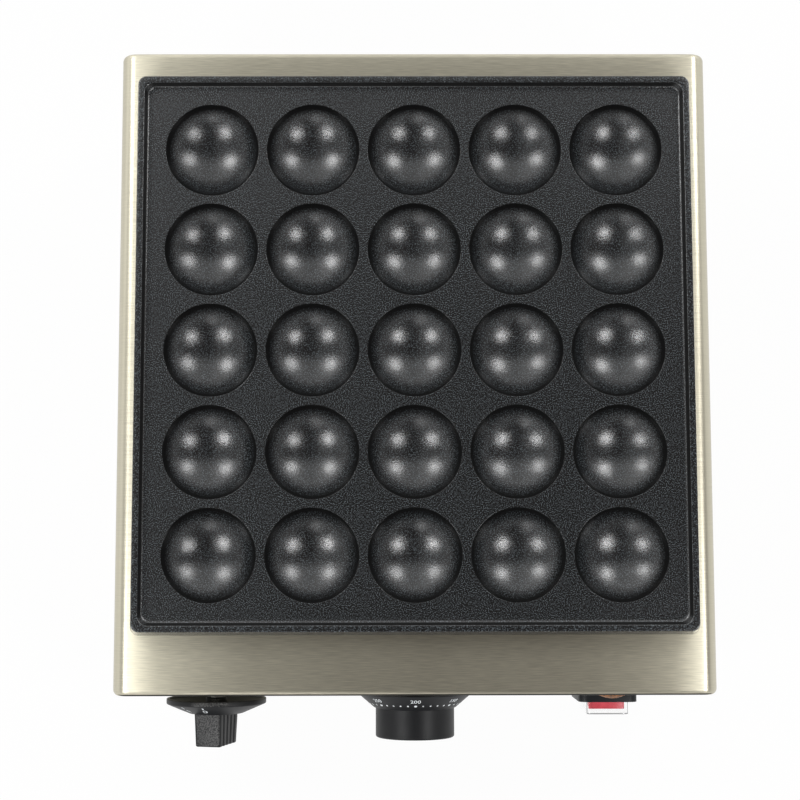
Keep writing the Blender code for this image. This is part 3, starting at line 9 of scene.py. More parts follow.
import json
import logging
import math
from dataclasses import dataclass
from enum import Enum
from typing import Callable, Sequence

import bmesh
import bpy
from mathutils import Matrix, Vector

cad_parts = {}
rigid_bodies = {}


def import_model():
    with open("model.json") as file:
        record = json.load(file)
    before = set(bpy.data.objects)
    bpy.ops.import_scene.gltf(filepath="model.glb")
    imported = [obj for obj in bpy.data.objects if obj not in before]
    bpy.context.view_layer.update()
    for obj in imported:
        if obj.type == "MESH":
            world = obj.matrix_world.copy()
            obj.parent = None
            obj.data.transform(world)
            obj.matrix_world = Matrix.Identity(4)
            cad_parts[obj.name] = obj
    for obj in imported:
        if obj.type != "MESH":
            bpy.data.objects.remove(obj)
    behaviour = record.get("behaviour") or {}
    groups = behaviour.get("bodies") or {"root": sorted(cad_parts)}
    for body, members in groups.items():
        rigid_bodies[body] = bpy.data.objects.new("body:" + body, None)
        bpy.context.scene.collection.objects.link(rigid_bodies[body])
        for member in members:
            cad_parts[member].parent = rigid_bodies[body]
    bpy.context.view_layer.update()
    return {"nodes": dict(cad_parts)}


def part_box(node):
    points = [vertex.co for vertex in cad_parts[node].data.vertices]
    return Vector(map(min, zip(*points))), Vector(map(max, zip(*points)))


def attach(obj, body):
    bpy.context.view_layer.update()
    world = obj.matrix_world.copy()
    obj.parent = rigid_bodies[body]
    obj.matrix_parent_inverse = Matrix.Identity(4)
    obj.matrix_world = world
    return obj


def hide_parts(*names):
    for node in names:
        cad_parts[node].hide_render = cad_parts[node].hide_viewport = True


LOG = logging.getLogger("mini_pancake_maker")
FACING_FRONT = Matrix.Rotation(math.pi / 2, 4, "X")
FACING_REAR = Matrix.Rotation(-math.pi / 2, 4, "X")
MERGE_DISTANCE = 0.00001
PRINT_MERGE_DISTANCE = MERGE_DISTANCE / 10
BEND_SHARE = 0.48
FLAT_ANGLE = math.radians(0.5)
SMOOTH_ANGLE = math.radians(35)
WHITE = (1.0, 1.0, 1.0, 1.0)

Colour = tuple[float, float, float]
Span = tuple[float, float]
Profile = list[tuple[float, float]]
Node = bpy.types.Node
Socket = bpy.types.NodeSocket
Piece = bpy.types.Object
Mesh = bpy.types.Mesh
Shape = bmesh.types.BMesh

# Each CAD node's name and the name of its object
NODES: dict[str, str] = {}


class Body(Enum):
    """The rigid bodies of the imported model."""

    MACHINE = "machine"
    TIMER = "timer"
    THERMOSTAT = "thermostat"
    ROCKER = "rocker"


class Slot(Enum):
    """The record's material slots, which new pieces name."""

    COATING = "non_stick_coating"
    STEEL = "brushed_steel"
    SHEET = "plain_steel"
    ZINC = "zinc_plated"
    KNOB = "knob_plastic"
    HOUSING = "housing_plastic"
    BOOT = "clear_boot"
    ROCKER = "rocker_red"
    LENS = "amber_lens"
    RUBBER = "rubber"
    BRASS = "brass"


class Sketch:
    """Adds nodes to one shader or geometry tree and links them in a line of calls."""

    def __init__(self, tree: bpy.types.NodeTree) -> None:
        """Keeps the tree that nodes go to."""
        self.tree = tree

    def feed(self, node: Node, inputs: dict) -> None:
        """Links each input of a node to the socket given for it, or sets it to the value given.

        Args:
            node: The node.
            inputs: Socket names or numbers to a value or an output socket.
        """
        for key, value in inputs.items():
            if isinstance(value, Socket):
                self.tree.links.new(value, node.inputs[key])
            else:
                node.inputs[key].default_value = value

    def add(self, kind: str, inputs: dict | None = None, **settings: object) -> Node:
        """Adds a node.

        Args:
            kind: The node's type name.
            inputs: Socket names or numbers to a value, or to an output socket to link from.
            **settings: Attributes to set on the node.

        Returns:
            The new node.
        """
        node = self.tree.nodes.new(kind)
        for name, value in settings.items():
            setattr(node, name, value)
        self.feed(node, inputs or {})
        return node

    def math(self, operation: str, *values: object) -> Socket:
        """Returns the output of a Math node on the given values or sockets."""
        return self.add("ShaderNodeMath", dict(enumerate(values)), operation=operation).outputs[0]

    def split(self, vector: Socket) -> Sequence[Socket]:
        """Returns the X, Y and Z of a vector."""
        return self.add("ShaderNodeSeparateXYZ", {0: vector}).outputs

    def facing(self) -> Sequence[Socket]:
        """Returns the X, Y and Z of the way that the surface faces."""
        return self.split(self.add("ShaderNodeTexCoord").outputs["Normal"])

    def ramp(
        self, source: Socket, low: float, high: float, first: float = 0.0, last: float = 1.0
    ) -> Socket:
        """Returns the source mapped so that low gives first and high gives last, eased and clamped."""
        inputs = {"Value": source, 1: low, 2: high, 3: first, 4: last}
        return self.add("ShaderNodeMapRange", inputs, interpolation_type="SMOOTHSTEP").outputs["Result"]

    def blend(self, share: Socket, first: object, second: object) -> Socket:
        """Returns a colour between two colours or colour sockets by a share from 0 to 1."""
        ends = [(*value, 1.0) if isinstance(value, tuple) else value for value in (first, second)]
        return self.add("ShaderNodeMix", {0: share, 6: ends[0], 7: ends[1]}, data_type="RGBA").outputs[2]

    def noise(self, place: Socket, scale: float, detail: float = 3.0) -> Socket:
        """Returns a noise value at the place, by its scale in turns per metre."""
        inputs = {"Vector": place, "Scale": scale, "Detail": detail}
        return self.add("ShaderNodeTexNoise", inputs).outputs[0]

    def bump(
        self, shader: Node, height: Socket, strength: float, depth: float, under: Socket | None = None
    ) -> Socket:
        """Bends the shader's normal by a height pattern.

        Args:
            shader: The Principled shader.
            height: The pattern.
            strength: How much of the bump shows, from 0 to 1.
            depth: The depth of the pattern in metres.
            under: The normal that is bent, if it isn't the surface's own.

        Returns:
            The bent normal.
        """
        inputs = {"Height": height, "Strength": strength, "Distance": depth}
        if under is not None:
            inputs["Normal"] = under
        bent = self.add("ShaderNodeBump", inputs).outputs["Normal"]
        self.feed(shader, {"Normal": bent})
        return bent


@dataclass(frozen=True)
class Finish:
    """A procedural finish on Object coordinates, around one Principled shader."""

    name: str
    colour: Colour
    roughness: float
    metallic: float = 0.0

    def material(self) -> bpy.types.Material:
        """Returns the finish's material, made once and then reused.

        Returns:
            The material.
        """
        found = bpy.data.materials.get(self.name)
        if found:
            return found
        made = bpy.data.materials.new(self.name)
        made.use_nodes = True
        sketch = Sketch(made.node_tree)
        shader = made.node_tree.nodes["Principled BSDF"]
        sketch.feed(
            shader,
            {"Base Color": (*self.colour, 1.0), "Roughness": self.roughness, "Metallic": self.metallic},
        )
        self.dress(sketch, shader, sketch.add("ShaderNodeTexCoord").outputs["Object"])
        return made

    def dress(self, sketch: Sketch, shader: Node, place: Socket) -> None:
        """Adds the finish's pattern to the shader. The plain finish has none."""

    def shaded(self, sketch: Sketch, shader: Node, share: Socket, tones: Span) -> Socket:
        """Varies the base colour between a darker and a lighter tone of itself, and returns it.

        Args:
            sketch: Where the nodes go.
            shader: The Principled shader.
            share: What picks the tone, from 0 to 1.
            tones: The darker and the lighter tone over the colour.

        Returns:
            The tone.
        """
        low, high = (tuple(min(channel * tone, 1.0) for channel in self.colour) for tone in tones)
        tone = sketch.blend(share, low, high)
        sketch.feed(shader, {"Base Color": tone})
        return tone

    def vary_roughness(self, sketch: Sketch, shader: Node, share: Socket, spread: float) -> None:
        """Varies the roughness around its middle value."""
        inputs = {"Value": share, "To Min": self.roughness - spread, "To Max": self.roughness + spread}
        sketch.feed(shader, {"Roughness": sketch.add("ShaderNodeMapRange", inputs).outputs["Result"]})


@dataclass(frozen=True)
class BrushedSteel(Finish):
    """Stainless sheet brushed along the machine's width, down its sides and along its front."""

    anisotropy: float = 0.7
    lines_per_metre: float = 3300.0
    streaks_per_metre: float = 110.0
    cloud_per_metre: float = 30.0
    line_contrast: Span = (0.30, 0.70)
    line_tones: Span = (0.86, 1.11)
    line_strength: float = 0.04
    line_depth: float = 0.0001
    gloss_spread: float = 0.03
    end_facing: float = 0.6
    side_facing: Span = (0.10, 0.45)
    side_lines: Span = (1.0, 0.25)
    flat_middle: float = 0.015
    flat_half: float = 0.095
    sag_curve: float = 1.3
    # The painted shade line along the top of the front panel, under the front fold.
    fold_colour: Colour = (0.025, 0.023, 0.019)
    fold_facing: Span = (-0.66, -0.75)
    fold_top: float = 0.1453
    fold_height: float = 0.0034
    fold_fade: float = 0.0005

    def dress(self, sketch: Sketch, shader: Node, place: Socket) -> None:
        """Adds brushing lines and streaks, the sheet's sag and a painted shade line under the front fold.

        Args:
            sketch: Where the nodes go.
            shader: The Principled shader.
            place: The surface's point in Object coordinates.
        """
        sideways, forward, _ = sketch.facing()
        facing_y = sketch.math("GREATER_THAN", sketch.math("ABSOLUTE", forward), self.end_facing)
        fine, along = self.lines_per_metre, self.streaks_per_metre
        on_top, on_front = (
            sketch.add("ShaderNodeVectorMath", {0: place, 1: scales}, operation="MULTIPLY").outputs[0]
            for scales in ((along, fine, along), (along, along, fine))
        )
        chosen = sketch.add("ShaderNodeMix", {0: facing_y, 4: on_top, 5: on_front}, data_type="VECTOR")
        lines = sketch.noise(chosen.outputs[1], 1.0, detail=2.0)
        kept = sketch.ramp(sketch.math("ABSOLUTE", sideways), *self.side_facing, *self.side_lines)
        lines = sketch.math("MULTIPLY_ADD", sketch.math("SUBTRACT", lines, 0.5), kept, 0.5)
        tone = self.shaded(sketch, shader, sketch.ramp(lines, *self.line_contrast), self.line_tones)
        self.vary_roughness(sketch, shader, sketch.noise(place, self.cloud_per_metre), self.gloss_spread)
        across, _, level = sketch.split(place)
        # Painted shade: a dark band on the front panel just under the front fold, standing in for the dark
        # reflection that the fold shows.
        bottom = self.fold_top - self.fold_height
        on_fold_shade = sketch.ramp(forward, *self.fold_facing)
        fold_shade = sketch.math("MULTIPLY", on_fold_shade, sketch.ramp(level, bottom, bottom + self.fold_fade))
        past = sketch.math("ABSOLUTE", sketch.math("SUBTRACT", across, self.flat_middle))
        past = sketch.math("MAXIMUM", sketch.math("SUBTRACT", past, self.flat_half), 0.0)
        sag = sketch.math("MULTIPLY", sketch.math("POWER", past, 2.0), -self.sag_curve / 2)
        sagged = sketch.bump(shader, sag, 1.0, 1.0)
        sketch.bump(shader, lines, self.line_strength, self.line_depth, sagged)
        upright = sketch.math("SUBTRACT", 1.0, facing_y)
        across_lines = sketch.add("ShaderNodeCombineXYZ", {0: 0.0, 1: upright, 2: facing_y}).outputs[0]
        sketch.feed(
            shader,
            {
                "Base Color": sketch.blend(fold_shade, tone, self.fold_colour),
                "Anisotropic": self.anisotropy,
                "Tangent": across_lines,
            },
        )


@dataclass(frozen=True)
class NonStick(Finish):
    """Black non-stick coating over a casting: a fine grain with pale specks, a paler lip whose front faces
    are painted lighter than its sides as painted light, and bowl walls darkened as painted shade.
    """

    grain_per_metre: float = 1700.0
    grain_strength: float = 0.9
    grain_depth: float = 0.00011
    speck_per_metre: float = 2000.0
    speck_contrast: Span = (0.50, 0.70)
    speck_colour: Colour = (0.072, 0.084, 0.092)
    cloud_per_metre: float = 40.0
    gloss_spread: float = 0.03
    # The lip's tones: its front faces are painted lighter than its sides, as painted light from the front.
    lip_colour: Colour = (0.180, 0.186, 0.190)
    side_lip_colour: Colour = (0.085, 0.088, 0.090)
    front_facing: Span = (-0.3, -0.6)
    # Painted shade on the steep bowl walls: their colour, the facing that counts as steep, and their gloss.
    wall_colour: Colour = (0.006, 0.006, 0.006)
    wall_facing: Span = (0.74, 0.52)
    wall_gloss: Span = (0.5, 0.12)
    index: float = 1.76
    middle_y: float = 0.01485
    inside_half: float = 0.1366
    corner_reach: float = 0.0015
    outward_least: float = 0.08

    def dress(self, sketch: Sketch, shader: Node, place: Socket) -> None:
        """Adds the grain, the specks, slow changes of gloss, painted shade on the steep bowl walls, and a
        paler lip whose front is painted lighter than its sides as painted light.

        Args:
            sketch: Where the nodes go.
            shader: The Principled shader.
            place: The surface's point in Object coordinates.
        """
        grain = sketch.noise(place, self.grain_per_metre, detail=2.0)
        specks = sketch.noise(place, self.speck_per_metre, detail=1.0)
        sideways, backward, up = sketch.facing()
        across, along, _ = sketch.split(place)
        along = sketch.math("SUBTRACT", along, self.middle_y)
        outward = sketch.math("MULTIPLY_ADD", along, backward, sketch.math("MULTIPLY", across, sideways))
        out = sketch.math("MAXIMUM", sketch.math("ABSOLUTE", across), sketch.math("ABSOLUTE", along))
        lip = sketch.math(
            "MULTIPLY",
            sketch.math("GREATER_THAN", out, self.inside_half - self.corner_reach),
            sketch.math("GREATER_THAN", outward, self.outward_least),
        )
        inside = sketch.math("SUBTRACT", 1.0, lip)
        # Painted shade: steep bowl walls get a darker colour and less gloss, standing in for the shade
        # inside the bowls.
        steep_shade = sketch.math("MULTIPLY", sketch.ramp(up, *self.wall_facing), inside)
        # Painted light: the lip's front faces take the lighter tone, as if lit from the front.
        front = sketch.ramp(backward, *self.front_facing)
        lit_lip_tone = sketch.blend(front, self.side_lip_colour, self.lip_colour)
        pale = sketch.blend(lip, self.speck_colour, lit_lip_tone)
        specked = sketch.blend(sketch.ramp(specks, *self.speck_contrast), self.colour, pale)
        self.vary_roughness(sketch, shader, sketch.noise(place, self.cloud_per_metre), self.gloss_spread)
        sketch.bump(shader, grain, self.grain_strength, self.grain_depth)
        sketch.feed(
            shader,
            {
                "Base Color": sketch.blend(steep_shade, specked, self.wall_colour),
                "Specular IOR Level": sketch.ramp(steep_shade, 0.0, 1.0, *self.wall_gloss),
                "IOR": self.index,
            },
        )


@dataclass(frozen=True)
class MouldedPlastic(Finish):
    """Moulded plastic with a fine spark-eroded texture; where asked, its upward faces are painted paler as
    painted top light, mottled like wear.
    """

    grain_per_metre: float = 3500.0
    depth: float = 0.00003
    strength: float = 0.4
    specular: float = 0.5
    cloud_per_metre: float = 120.0
    tones: Span = (0.85, 1.2)
    gloss_spread: float = 0.05
    # Painted top light: how much paler the upward faces are painted, mottled like wear.
    wear: float = 0.0
    worn_facing: Span = (0.90, 0.97)
    worn_grain: Span = (0.35, 0.65)

    def dress(self, sketch: Sketch, shader: Node, place: Socket) -> None:
        """Adds the mould's fine texture, a slow change of tone and any painted top light, mottled like wear.

        Args:
            sketch: Where the nodes go.
            shader: The Principled shader.
            place: The surface's point in Object coordinates.
        """
        grain = sketch.noise(place, self.grain_per_metre, detail=2.0)
        cloud = sketch.noise(place, self.cloud_per_metre, detail=2.0)
        sketch.feed(shader, {"Specular IOR Level": self.specular})
        tone = self.shaded(sketch, shader, cloud, self.tones)
        # Painted light: upward faces are painted paler, mottled by the grain like wear.
        if self.wear:
            upward = sketch.ramp(sketch.facing()[2], *self.worn_facing)
            lit_top_mask = sketch.math("MULTIPLY", upward, sketch.ramp(grain, *self.worn_grain))
            sketch.feed(shader, {"Base Color": sketch.blend(lit_top_mask, tone, (self.wear,) * 3)})
        self.vary_roughness(sketch, shader, cloud, self.gloss_spread)
        sketch.bump(shader, grain, self.strength, self.depth)


@dataclass(frozen=True)
class PlainMetal(Finish):
    """Plated, drawn or cast metal with a soft mottle."""

    mottle_per_metre: float = 260.0
    tones: Span = (0.82, 1.12)
    gloss_spread: float = 0.10
    strength: float = 0.1
    depth: float = 0.00005

    def dress(self, sketch: Sketch, shader: Node, place: Socket) -> None:
        """Adds the mottle to the tone, the gloss and the surface.

        Args:
            sketch: Where the nodes go.
            shader: The Principled shader.
            place: The surface's point in Object coordinates.
        """
        mottle = sketch.noise(place, self.mottle_per_metre, detail=4.0)
        self.shaded(sketch, shader, mottle, self.tones)
        self.vary_roughness(sketch, shader, mottle, self.gloss_spread)
        sketch.bump(shader, mottle, self.strength, self.depth)


@dataclass(frozen=True)
class SoftFibre(Finish):
    """Matted fibre or rubber: a dull surface with a felted grain."""

    felt_per_metre: float = 700.0
    tones: Span = (0.75, 1.15)
    strength: float = 0.5
    depth: float = 0.0002

    def dress(self, sketch: Sketch, shader: Node, place: Socket) -> None:
        """Adds the felted grain.

        Args:
            sketch: Where the nodes go.
            shader: The Principled shader.
            place: The surface's point in Object coordinates.
        """
        felt = sketch.noise(place, self.felt_per_metre, detail=5.0)
        self.shaded(sketch, shader, felt, self.tones)
        sketch.bump(shader, felt, self.strength, self.depth)


@dataclass(frozen=True)
class ClearMoulding(Finish):
    """Clear soft plastic: nearly unseen, and grey only along the bead round its upper edge."""

    face_alpha: float = 0.02
    edge_alpha: float = 0.75
    middle: float = 0.0
    half: float = 1.0
    front: float = -1.0
    top: float = 1.0
    wall: float = 0.0007
    bead: float = 0.0016
    ripple_per_metre: float = 300.0
    ripple_strength: float = 0.1
    ripple_depth: float = 0.0001

    def dress(self, sketch: Sketch, shader: Node, place: Socket) -> None:
        """Makes the moulding dense only along its bead, with a fine ripple.

        Args:
            sketch: Where the nodes go.
            shader: The Principled shader.
            place: The surface's point in Object coordinates.
        """
        across, along, level = sketch.split(place)
        across = sketch.math("ABSOLUTE", sketch.math("SUBTRACT", across, self.middle))
        side = sketch.math("GREATER_THAN", across, self.half - self.wall)
        end = sketch.math("LESS_THAN", along, self.front + self.wall)
        upper = sketch.math("GREATER_THAN", level, self.top - self.bead)
        bead = sketch.math("MULTIPLY", sketch.math("MAXIMUM", side, end), upper)
        sketch.feed(shader, {"Alpha": sketch.ramp(bead, 0.0, 1.0, self.face_alpha, self.edge_alpha)})
        ripple = sketch.noise(place, self.ripple_per_metre, detail=1.0)
        sketch.bump(shader, ripple, self.ripple_strength, self.ripple_depth)


@dataclass(frozen=True)
class ColouredLens(Finish):
    """Glossy coloured moulding that lets some light through."""

    depth: float = 0.25
    coat: float = 0.5
    coat_roughness: float = 0.08
    cloud_per_metre: float = 160.0
    cloud_contrast: Span = (0.3, 0.7)
    tones: Span = (0.8, 1.25)

    def dress(self, sketch: Sketch, shader: Node, place: Socket) -> None:
        """Adds a light scatter inside the moulding and a soft change of tone.

        Args:
            sketch: Where the nodes go.
            shader: The Principled shader.
            place: The surface's point in Object coordinates.
        """
        cloud = sketch.noise(place, self.cloud_per_metre, detail=2.0)
        self.shaded(sketch, shader, sketch.ramp(cloud, *self.cloud_contrast), self.tones)
        sketch.feed(
            shader,
            {
                "Transmission Weight": self.depth,
                "Coat Weight": self.coat,
                "Coat Roughness": self.coat_roughness,
            },
        )


STEEL = BrushedSteel("brushed_steel_casing", (0.582, 0.550, 0.438), roughness=0.40, metallic=1.0)
GALVANISED = PlainMetal(
    "galvanised_tray",
    (0.56, 0.56, 0.54),
    roughness=0.42,
    metallic=1.0,
    mottle_per_metre=90.0,
)
ZINC = PlainMetal("zinc_plating", (0.62, 0.62, 0.60), roughness=0.32, metallic=1.0)
BLACKENED = PlainMetal("blackened_nut", (0.02, 0.02, 0.02), roughness=0.5, metallic=1.0)
SHEATH = PlainMetal("element_sheath_steel", (0.16, 0.14, 0.12), roughness=0.5, metallic=1.0)
COPPER = PlainMetal("drawn_copper", (0.72, 0.38, 0.24), roughness=0.3, metallic=1.0)
BRASS = PlainMetal("turned_brass", (0.70, 0.54, 0.26), roughness=0.3, metallic=1.0)
COATING = NonStick("speckled_non_stick", (0.002, 0.0021, 0.0023), roughness=0.225)
KNOB = MouldedPlastic("matte_knob_plastic", (0.006, 0.0066, 0.0080), roughness=0.47, specular=0.3)
# The timer's knob, its upward faces painted paler as painted top light, mottled like wear.
TOP_LIT_KNOB = MouldedPlastic(
    "top_lit_knob_plastic",
    KNOB.colour,
    roughness=KNOB.roughness,
    grain_per_metre=1500.0,
    depth=0.00006,
    specular=KNOB.specular,
    wear=0.10,
)
HOUSING = MouldedPlastic("satin_housing_plastic", (0.006, 0.0075, 0.010), roughness=0.45, specular=0.3)
PRINT = MouldedPlastic("white_scale_print", (0.78, 0.82, 0.86), roughness=0.5)
ROCKER_RED = ColouredLens("translucent_red", (0.95, 0.10, 0.13), roughness=0.22, depth=0.05)
AMBER = ColouredLens(
    "amber_lens_plastic",
    (0.24, 0.085, 0.012),
    roughness=0.55,
    depth=0.1,
    coat=0.0,
    cloud_per_metre=700.0,
    tones=(0.35, 1.5),
)
RUBBER = SoftFibre(
    "foot_rubber",
    (0.022, 0.022, 0.022),
    roughness=0.8,
    felt_per_metre=900.0,
    depth=0.00005,
)
FIBRE = SoftFibre("ceramic_fibre_blanket", (0.80, 0.78, 0.72), roughness=0.95)
CERAMIC = MouldedPlastic("glazed_ceramic", (0.80, 0.78, 0.72), roughness=0.3)
BROWN = MouldedPlastic("brown_insulation", (0.12, 0.045, 0.02), roughness=0.45)
BLUE = MouldedPlastic("blue_insulation", (0.03, 0.09, 0.32), roughness=0.45)
GREEN = MouldedPlastic("green_insulation", (0.20, 0.42, 0.06), roughness=0.45)


def new_object(name: str, data: bpy.types.ID) -> Piece:
    """Links a new object at the origin and returns it.

    Args:
        name: The object's name.
        data: Its mesh, curve, lamp or camera.

    Returns:
        The object.
    """
    obj = bpy.data.objects.new(name, data)
    bpy.context.scene.collection.objects.link(obj)
    return obj


def mesh_from(bm: Shape, name: str) -> Mesh:
    """Returns a mesh made from the bmesh, which is freed.

    Args:
        bm: The shape.
        name: The mesh's name.

    Returns:
        The mesh.
    """
    mesh = bpy.data.meshes.new(name)
    bm.to_mesh(mesh)
    bm.free()
    return mesh


def opened(mesh: Mesh) -> Shape:
    """Returns a bmesh with a mesh's content.

    Args:
        mesh: The mesh, which is kept.

    Returns:
        The shape.
    """
    bm = bmesh.new()
    bm.from_mesh(mesh)
    return bm


def block(low: Vector, high: Vector) -> Shape:
    """Returns a box between two corners.

    Args:
        low: The low corner.
        high: The high corner.

    Returns:
        The box.
    """
    bm = bmesh.new()
    place = Matrix.Translation((low + high) / 2) @ Matrix.Diagonal((*(high - low), 1.0))
    bmesh.ops.create_cube(bm, size=1.0, matrix=place)
    return bm


def smoothed(mesh: Mesh, angle: float = SMOOTH_ANGLE) -> Mesh:
    """Shades a mesh smooth, with sharp edges past the angle.

    Args:
        mesh: The mesh.
        angle: The least angle that stays sharp, in radians.

    Returns:
        The same mesh.
    """
    mesh.shade_smooth()
    mesh.set_sharp_from_angle(angle=angle)
    return mesh


def settle(obj: Piece) -> Piece:
    """Turns the object's modifiers into its mesh and returns it.

    Args:
        obj: The object.

    Returns:
        The same object.
    """
    bpy.context.view_layer.update()
    graph = bpy.context.evaluated_depsgraph_get()
    mesh = bpy.data.meshes.new_from_object(obj.evaluated_get(graph))
    obj.modifiers.clear()
    obj.data = smoothed(mesh)
    return obj


def discard(*objects: Piece) -> None:
    """Removes helper objects."""
    for obj in objects:
        bpy.data.objects.remove(obj, do_unlink=True)


def finished(obj: Piece, finish: Finish, slot: Slot, body: Body, *nodes: str) -> None:
    """Gives a new piece its finish and its body, and hides the CAD nodes that it stands for.

    Args:
        obj: The piece, at the origin.
        finish: Its finish.
        slot: The record's slot that it takes its finish from. It is not used.
        body: The body that it rides on.
        *nodes: The CAD nodes that it stands for, if any.
    """
    if not obj.data.materials:
        obj.data.materials.append(finish.material())
    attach(obj, body.value)
    if nodes:
        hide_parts(*nodes)
    LOG.info("%s: %d faces on %s", obj.name, len(obj.data.polygons), body.value)


def corners(node: str) -> list[Vector]:
    """Returns the low and the high corner of a CAD node's box."""
    return [Vector(corner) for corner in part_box(node)]


def box_centre(node: str) -> Vector:
    """Returns the middle of a CAD node's box."""
    low, high = corners(node)
    return (low + high) / 2


def box_size(node: str) -> Vector:
    """Returns the size of a CAD node's box."""
    low, high = corners(node)
    return high - low


def seat_on(node: str, wall_y: float, facing: Matrix) -> Matrix:
    """Returns the place on a wall before a CAD node, turned so that its Z leads out of the wall."""
    centre = box_centre(node)
    return Matrix.Translation((centre.x, wall_y, centre.z)) @ facing


def arc(centre: tuple[float, float], radius: float, start: float, stop: float, steps: int) -> Profile:
    """Returns points on a circle.

    Args:
        centre: The circle's centre.
        radius: Its radius.
        start: The first angle in degrees, from the first axis towards the second.
        stop: The last angle in degrees.
        steps: How many steps to take.
    """
    angles = [math.radians(start + (stop - start) * i / steps) for i in range(steps + 1)]
    return [(centre[0] + radius * math.cos(a), centre[1] + radius * math.sin(a)) for a in angles]


def rounded(
    profile: Profile, radius: float | Sequence[float], steps: int = 3, closed: bool = False
) -> Profile:
    """Returns the profile with each bend rounded, and the two ends kept where it is open.

    Args:
        profile: The points.
        radius: One radius for all bends, or one for each point.
        steps: How many steps a bend has.
        closed: Whether the profile joins its own start.

    Returns:
        The points with the bends' own.
    """
    count = len(profile)
    radii = [radius] * count if isinstance(radius, float) else radius
    result: Profile = []
    for i, point in enumerate(profile):
        here = Vector(point)
        before = Vector(profile[i - 1]) - here
        after = Vector(profile[(i + 1) % count]) - here
        if not closed and i in (0, count - 1):
            result.append(point)
            continue
        reach = min(radii[i], before.length * BEND_SHARE, after.length * BEND_SHARE)
        first = here + before.normalized() * reach
        last = here + after.normalized() * reach
        for step in range(steps + 1):
            t = step / steps
            bent = first * (1 - t) ** 2 + here * (2 * t * (1 - t)) + last * t**2
            result.append((bent.x, bent.y))
    return result


def revolved(profile: Profile, steps: int, closed: bool = False) -> Shape:
    """Returns a turned shape about Z from (radius, height) points.

    Args:
        profile: The points. One with no radius becomes a pole.
        steps: How many steps go round.
        closed: Whether the profile joins its own start, as a ring's does.

    Returns:
        The shape.
    """
    bm = bmesh.new()
    rings = []
    for radius, height in profile:
        if radius < MERGE_DISTANCE:
            pole = bm.verts.new((0, 0, height))
            rings.append([pole] * steps)
        else:
            turn = [2 * math.pi * i / steps for i in range(steps)]
            rings.append([bm.verts.new((radius * math.cos(a), radius * math.sin(a), height)) for a in turn])
    pairs = list(zip(rings, rings[1:]))
    if closed:
        pairs.append((rings[-1], rings[0]))
    for lower, upper in pairs:
        for i in range(steps):
            j = (i + 1) % steps
            face = list(dict.fromkeys([lower[i], lower[j], upper[j], upper[i]]))
            if len(face) > 2:
                bm.faces.new(face)
    bmesh.ops.recalc_face_normals(bm, faces=bm.faces)
    return bm


def extruded(outline: Profile, bottom: float, top: float, top_scale: float = 1.0) -> Shape:
    """Returns a flat outline raised from bottom to top along Z, and drawn in at the top by a scale.

    Args:
        outline: The points seen from above.
        bottom: The level of the lower face.
        top: The level of the upper face.
        top_scale: The size of the upper face over that of the lower one.

    Returns:
        The shape.
    """
    bm = bmesh.new()
    lower = [bm.verts.new((x, y, bottom)) for x, y in outline]
    upper = [bm.verts.new((x * top_scale, y * top_scale, top)) for x, y in outline]
    count = len(outline)
    bm.faces.new(lower)
    bm.faces.new(upper)
    for i in range(count):
        j = (i + 1) % count
        bm.faces.new((lower[i], lower[j], upper[j], upper[i]))
    bmesh.ops.recalc_face_normals(bm, faces=bm.faces)
    return bm


def combined(first: Piece, second: Piece, operation: str) -> None:
    """Settles a Boolean of the second object on the first, and removes the second.

    Args:
        first: The object that is changed.
        second: The object that is cut away or joined on.
        operation: The Boolean's operation.
    """
    boolean = first.modifiers.new("boolean", "BOOLEAN")
    boolean.operation = operation
    boolean.object = second
    settle(first)
    discard(second)


def refined(node: str, name: str, edge: float, steps: int = 2, angle: float = 40.0) -> Piece:
    """Returns a copy of a CAD node with its flat faces merged and its edges rounded.

    Args:
        node: The CAD node to copy.
        name: The new piece's name.
        edge: The radius that its edges get.
        steps: How many steps the rounding has.
        angle: The least angle, in degrees, that counts as an edge.

    Returns:
        The new piece.
    """
    bm = opened(bpy.data.objects[NODES[node]].data)
    bmesh.ops.remove_doubles(bm, verts=bm.verts, dist=MERGE_DISTANCE)
    bmesh.ops.dissolve_limit(bm, angle_limit=FLAT_ANGLE, verts=bm.verts, edges=bm.edges)
    obj = new_object(name, mesh_from(bm, name))
    return bevelled(obj, edge, steps, angle)


def bevelled(obj: Piece, edge: float, steps: int, angle: float) -> Piece:
    """Rounds a piece's edges past an angle in degrees and returns it.

    Args:
        obj: The piece.
        edge: The radius.
        steps: How many steps the rounding has.
        angle: The least angle that counts as an edge.

    Returns:
        The same piece.
    """
    bevel = obj.modifiers.new("edges", "BEVEL")
    bevel.width = edge
    bevel.segments = steps
    bevel.limit_method = "ANGLE"
    bevel.angle_limit = math.radians(angle)
    return settle(obj)


def softened(
    node: str,
    name: str,
    edge: float,
    finish: Finish,
    slot: Slot,
    body: Body = Body.MACHINE,
    steps: int = 2,
    angle: float = 40.0,
) -> None:
    """Replaces a CAD node by a copy of itself with rounded edges, in a finish of its own.

    Args:
        node: The CAD node.
        name: The new piece's name.
        edge: The radius that its edges get.
        finish: The new piece's finish.
        slot: The record's slot that it takes its finish from.
        body: The body that it rides on.
        steps: How many steps the rounding has.
        angle: The least angle, in degrees, that counts as an edge.
    """
    finished(refined(node, name, edge, steps, angle), finish, slot, body, node)


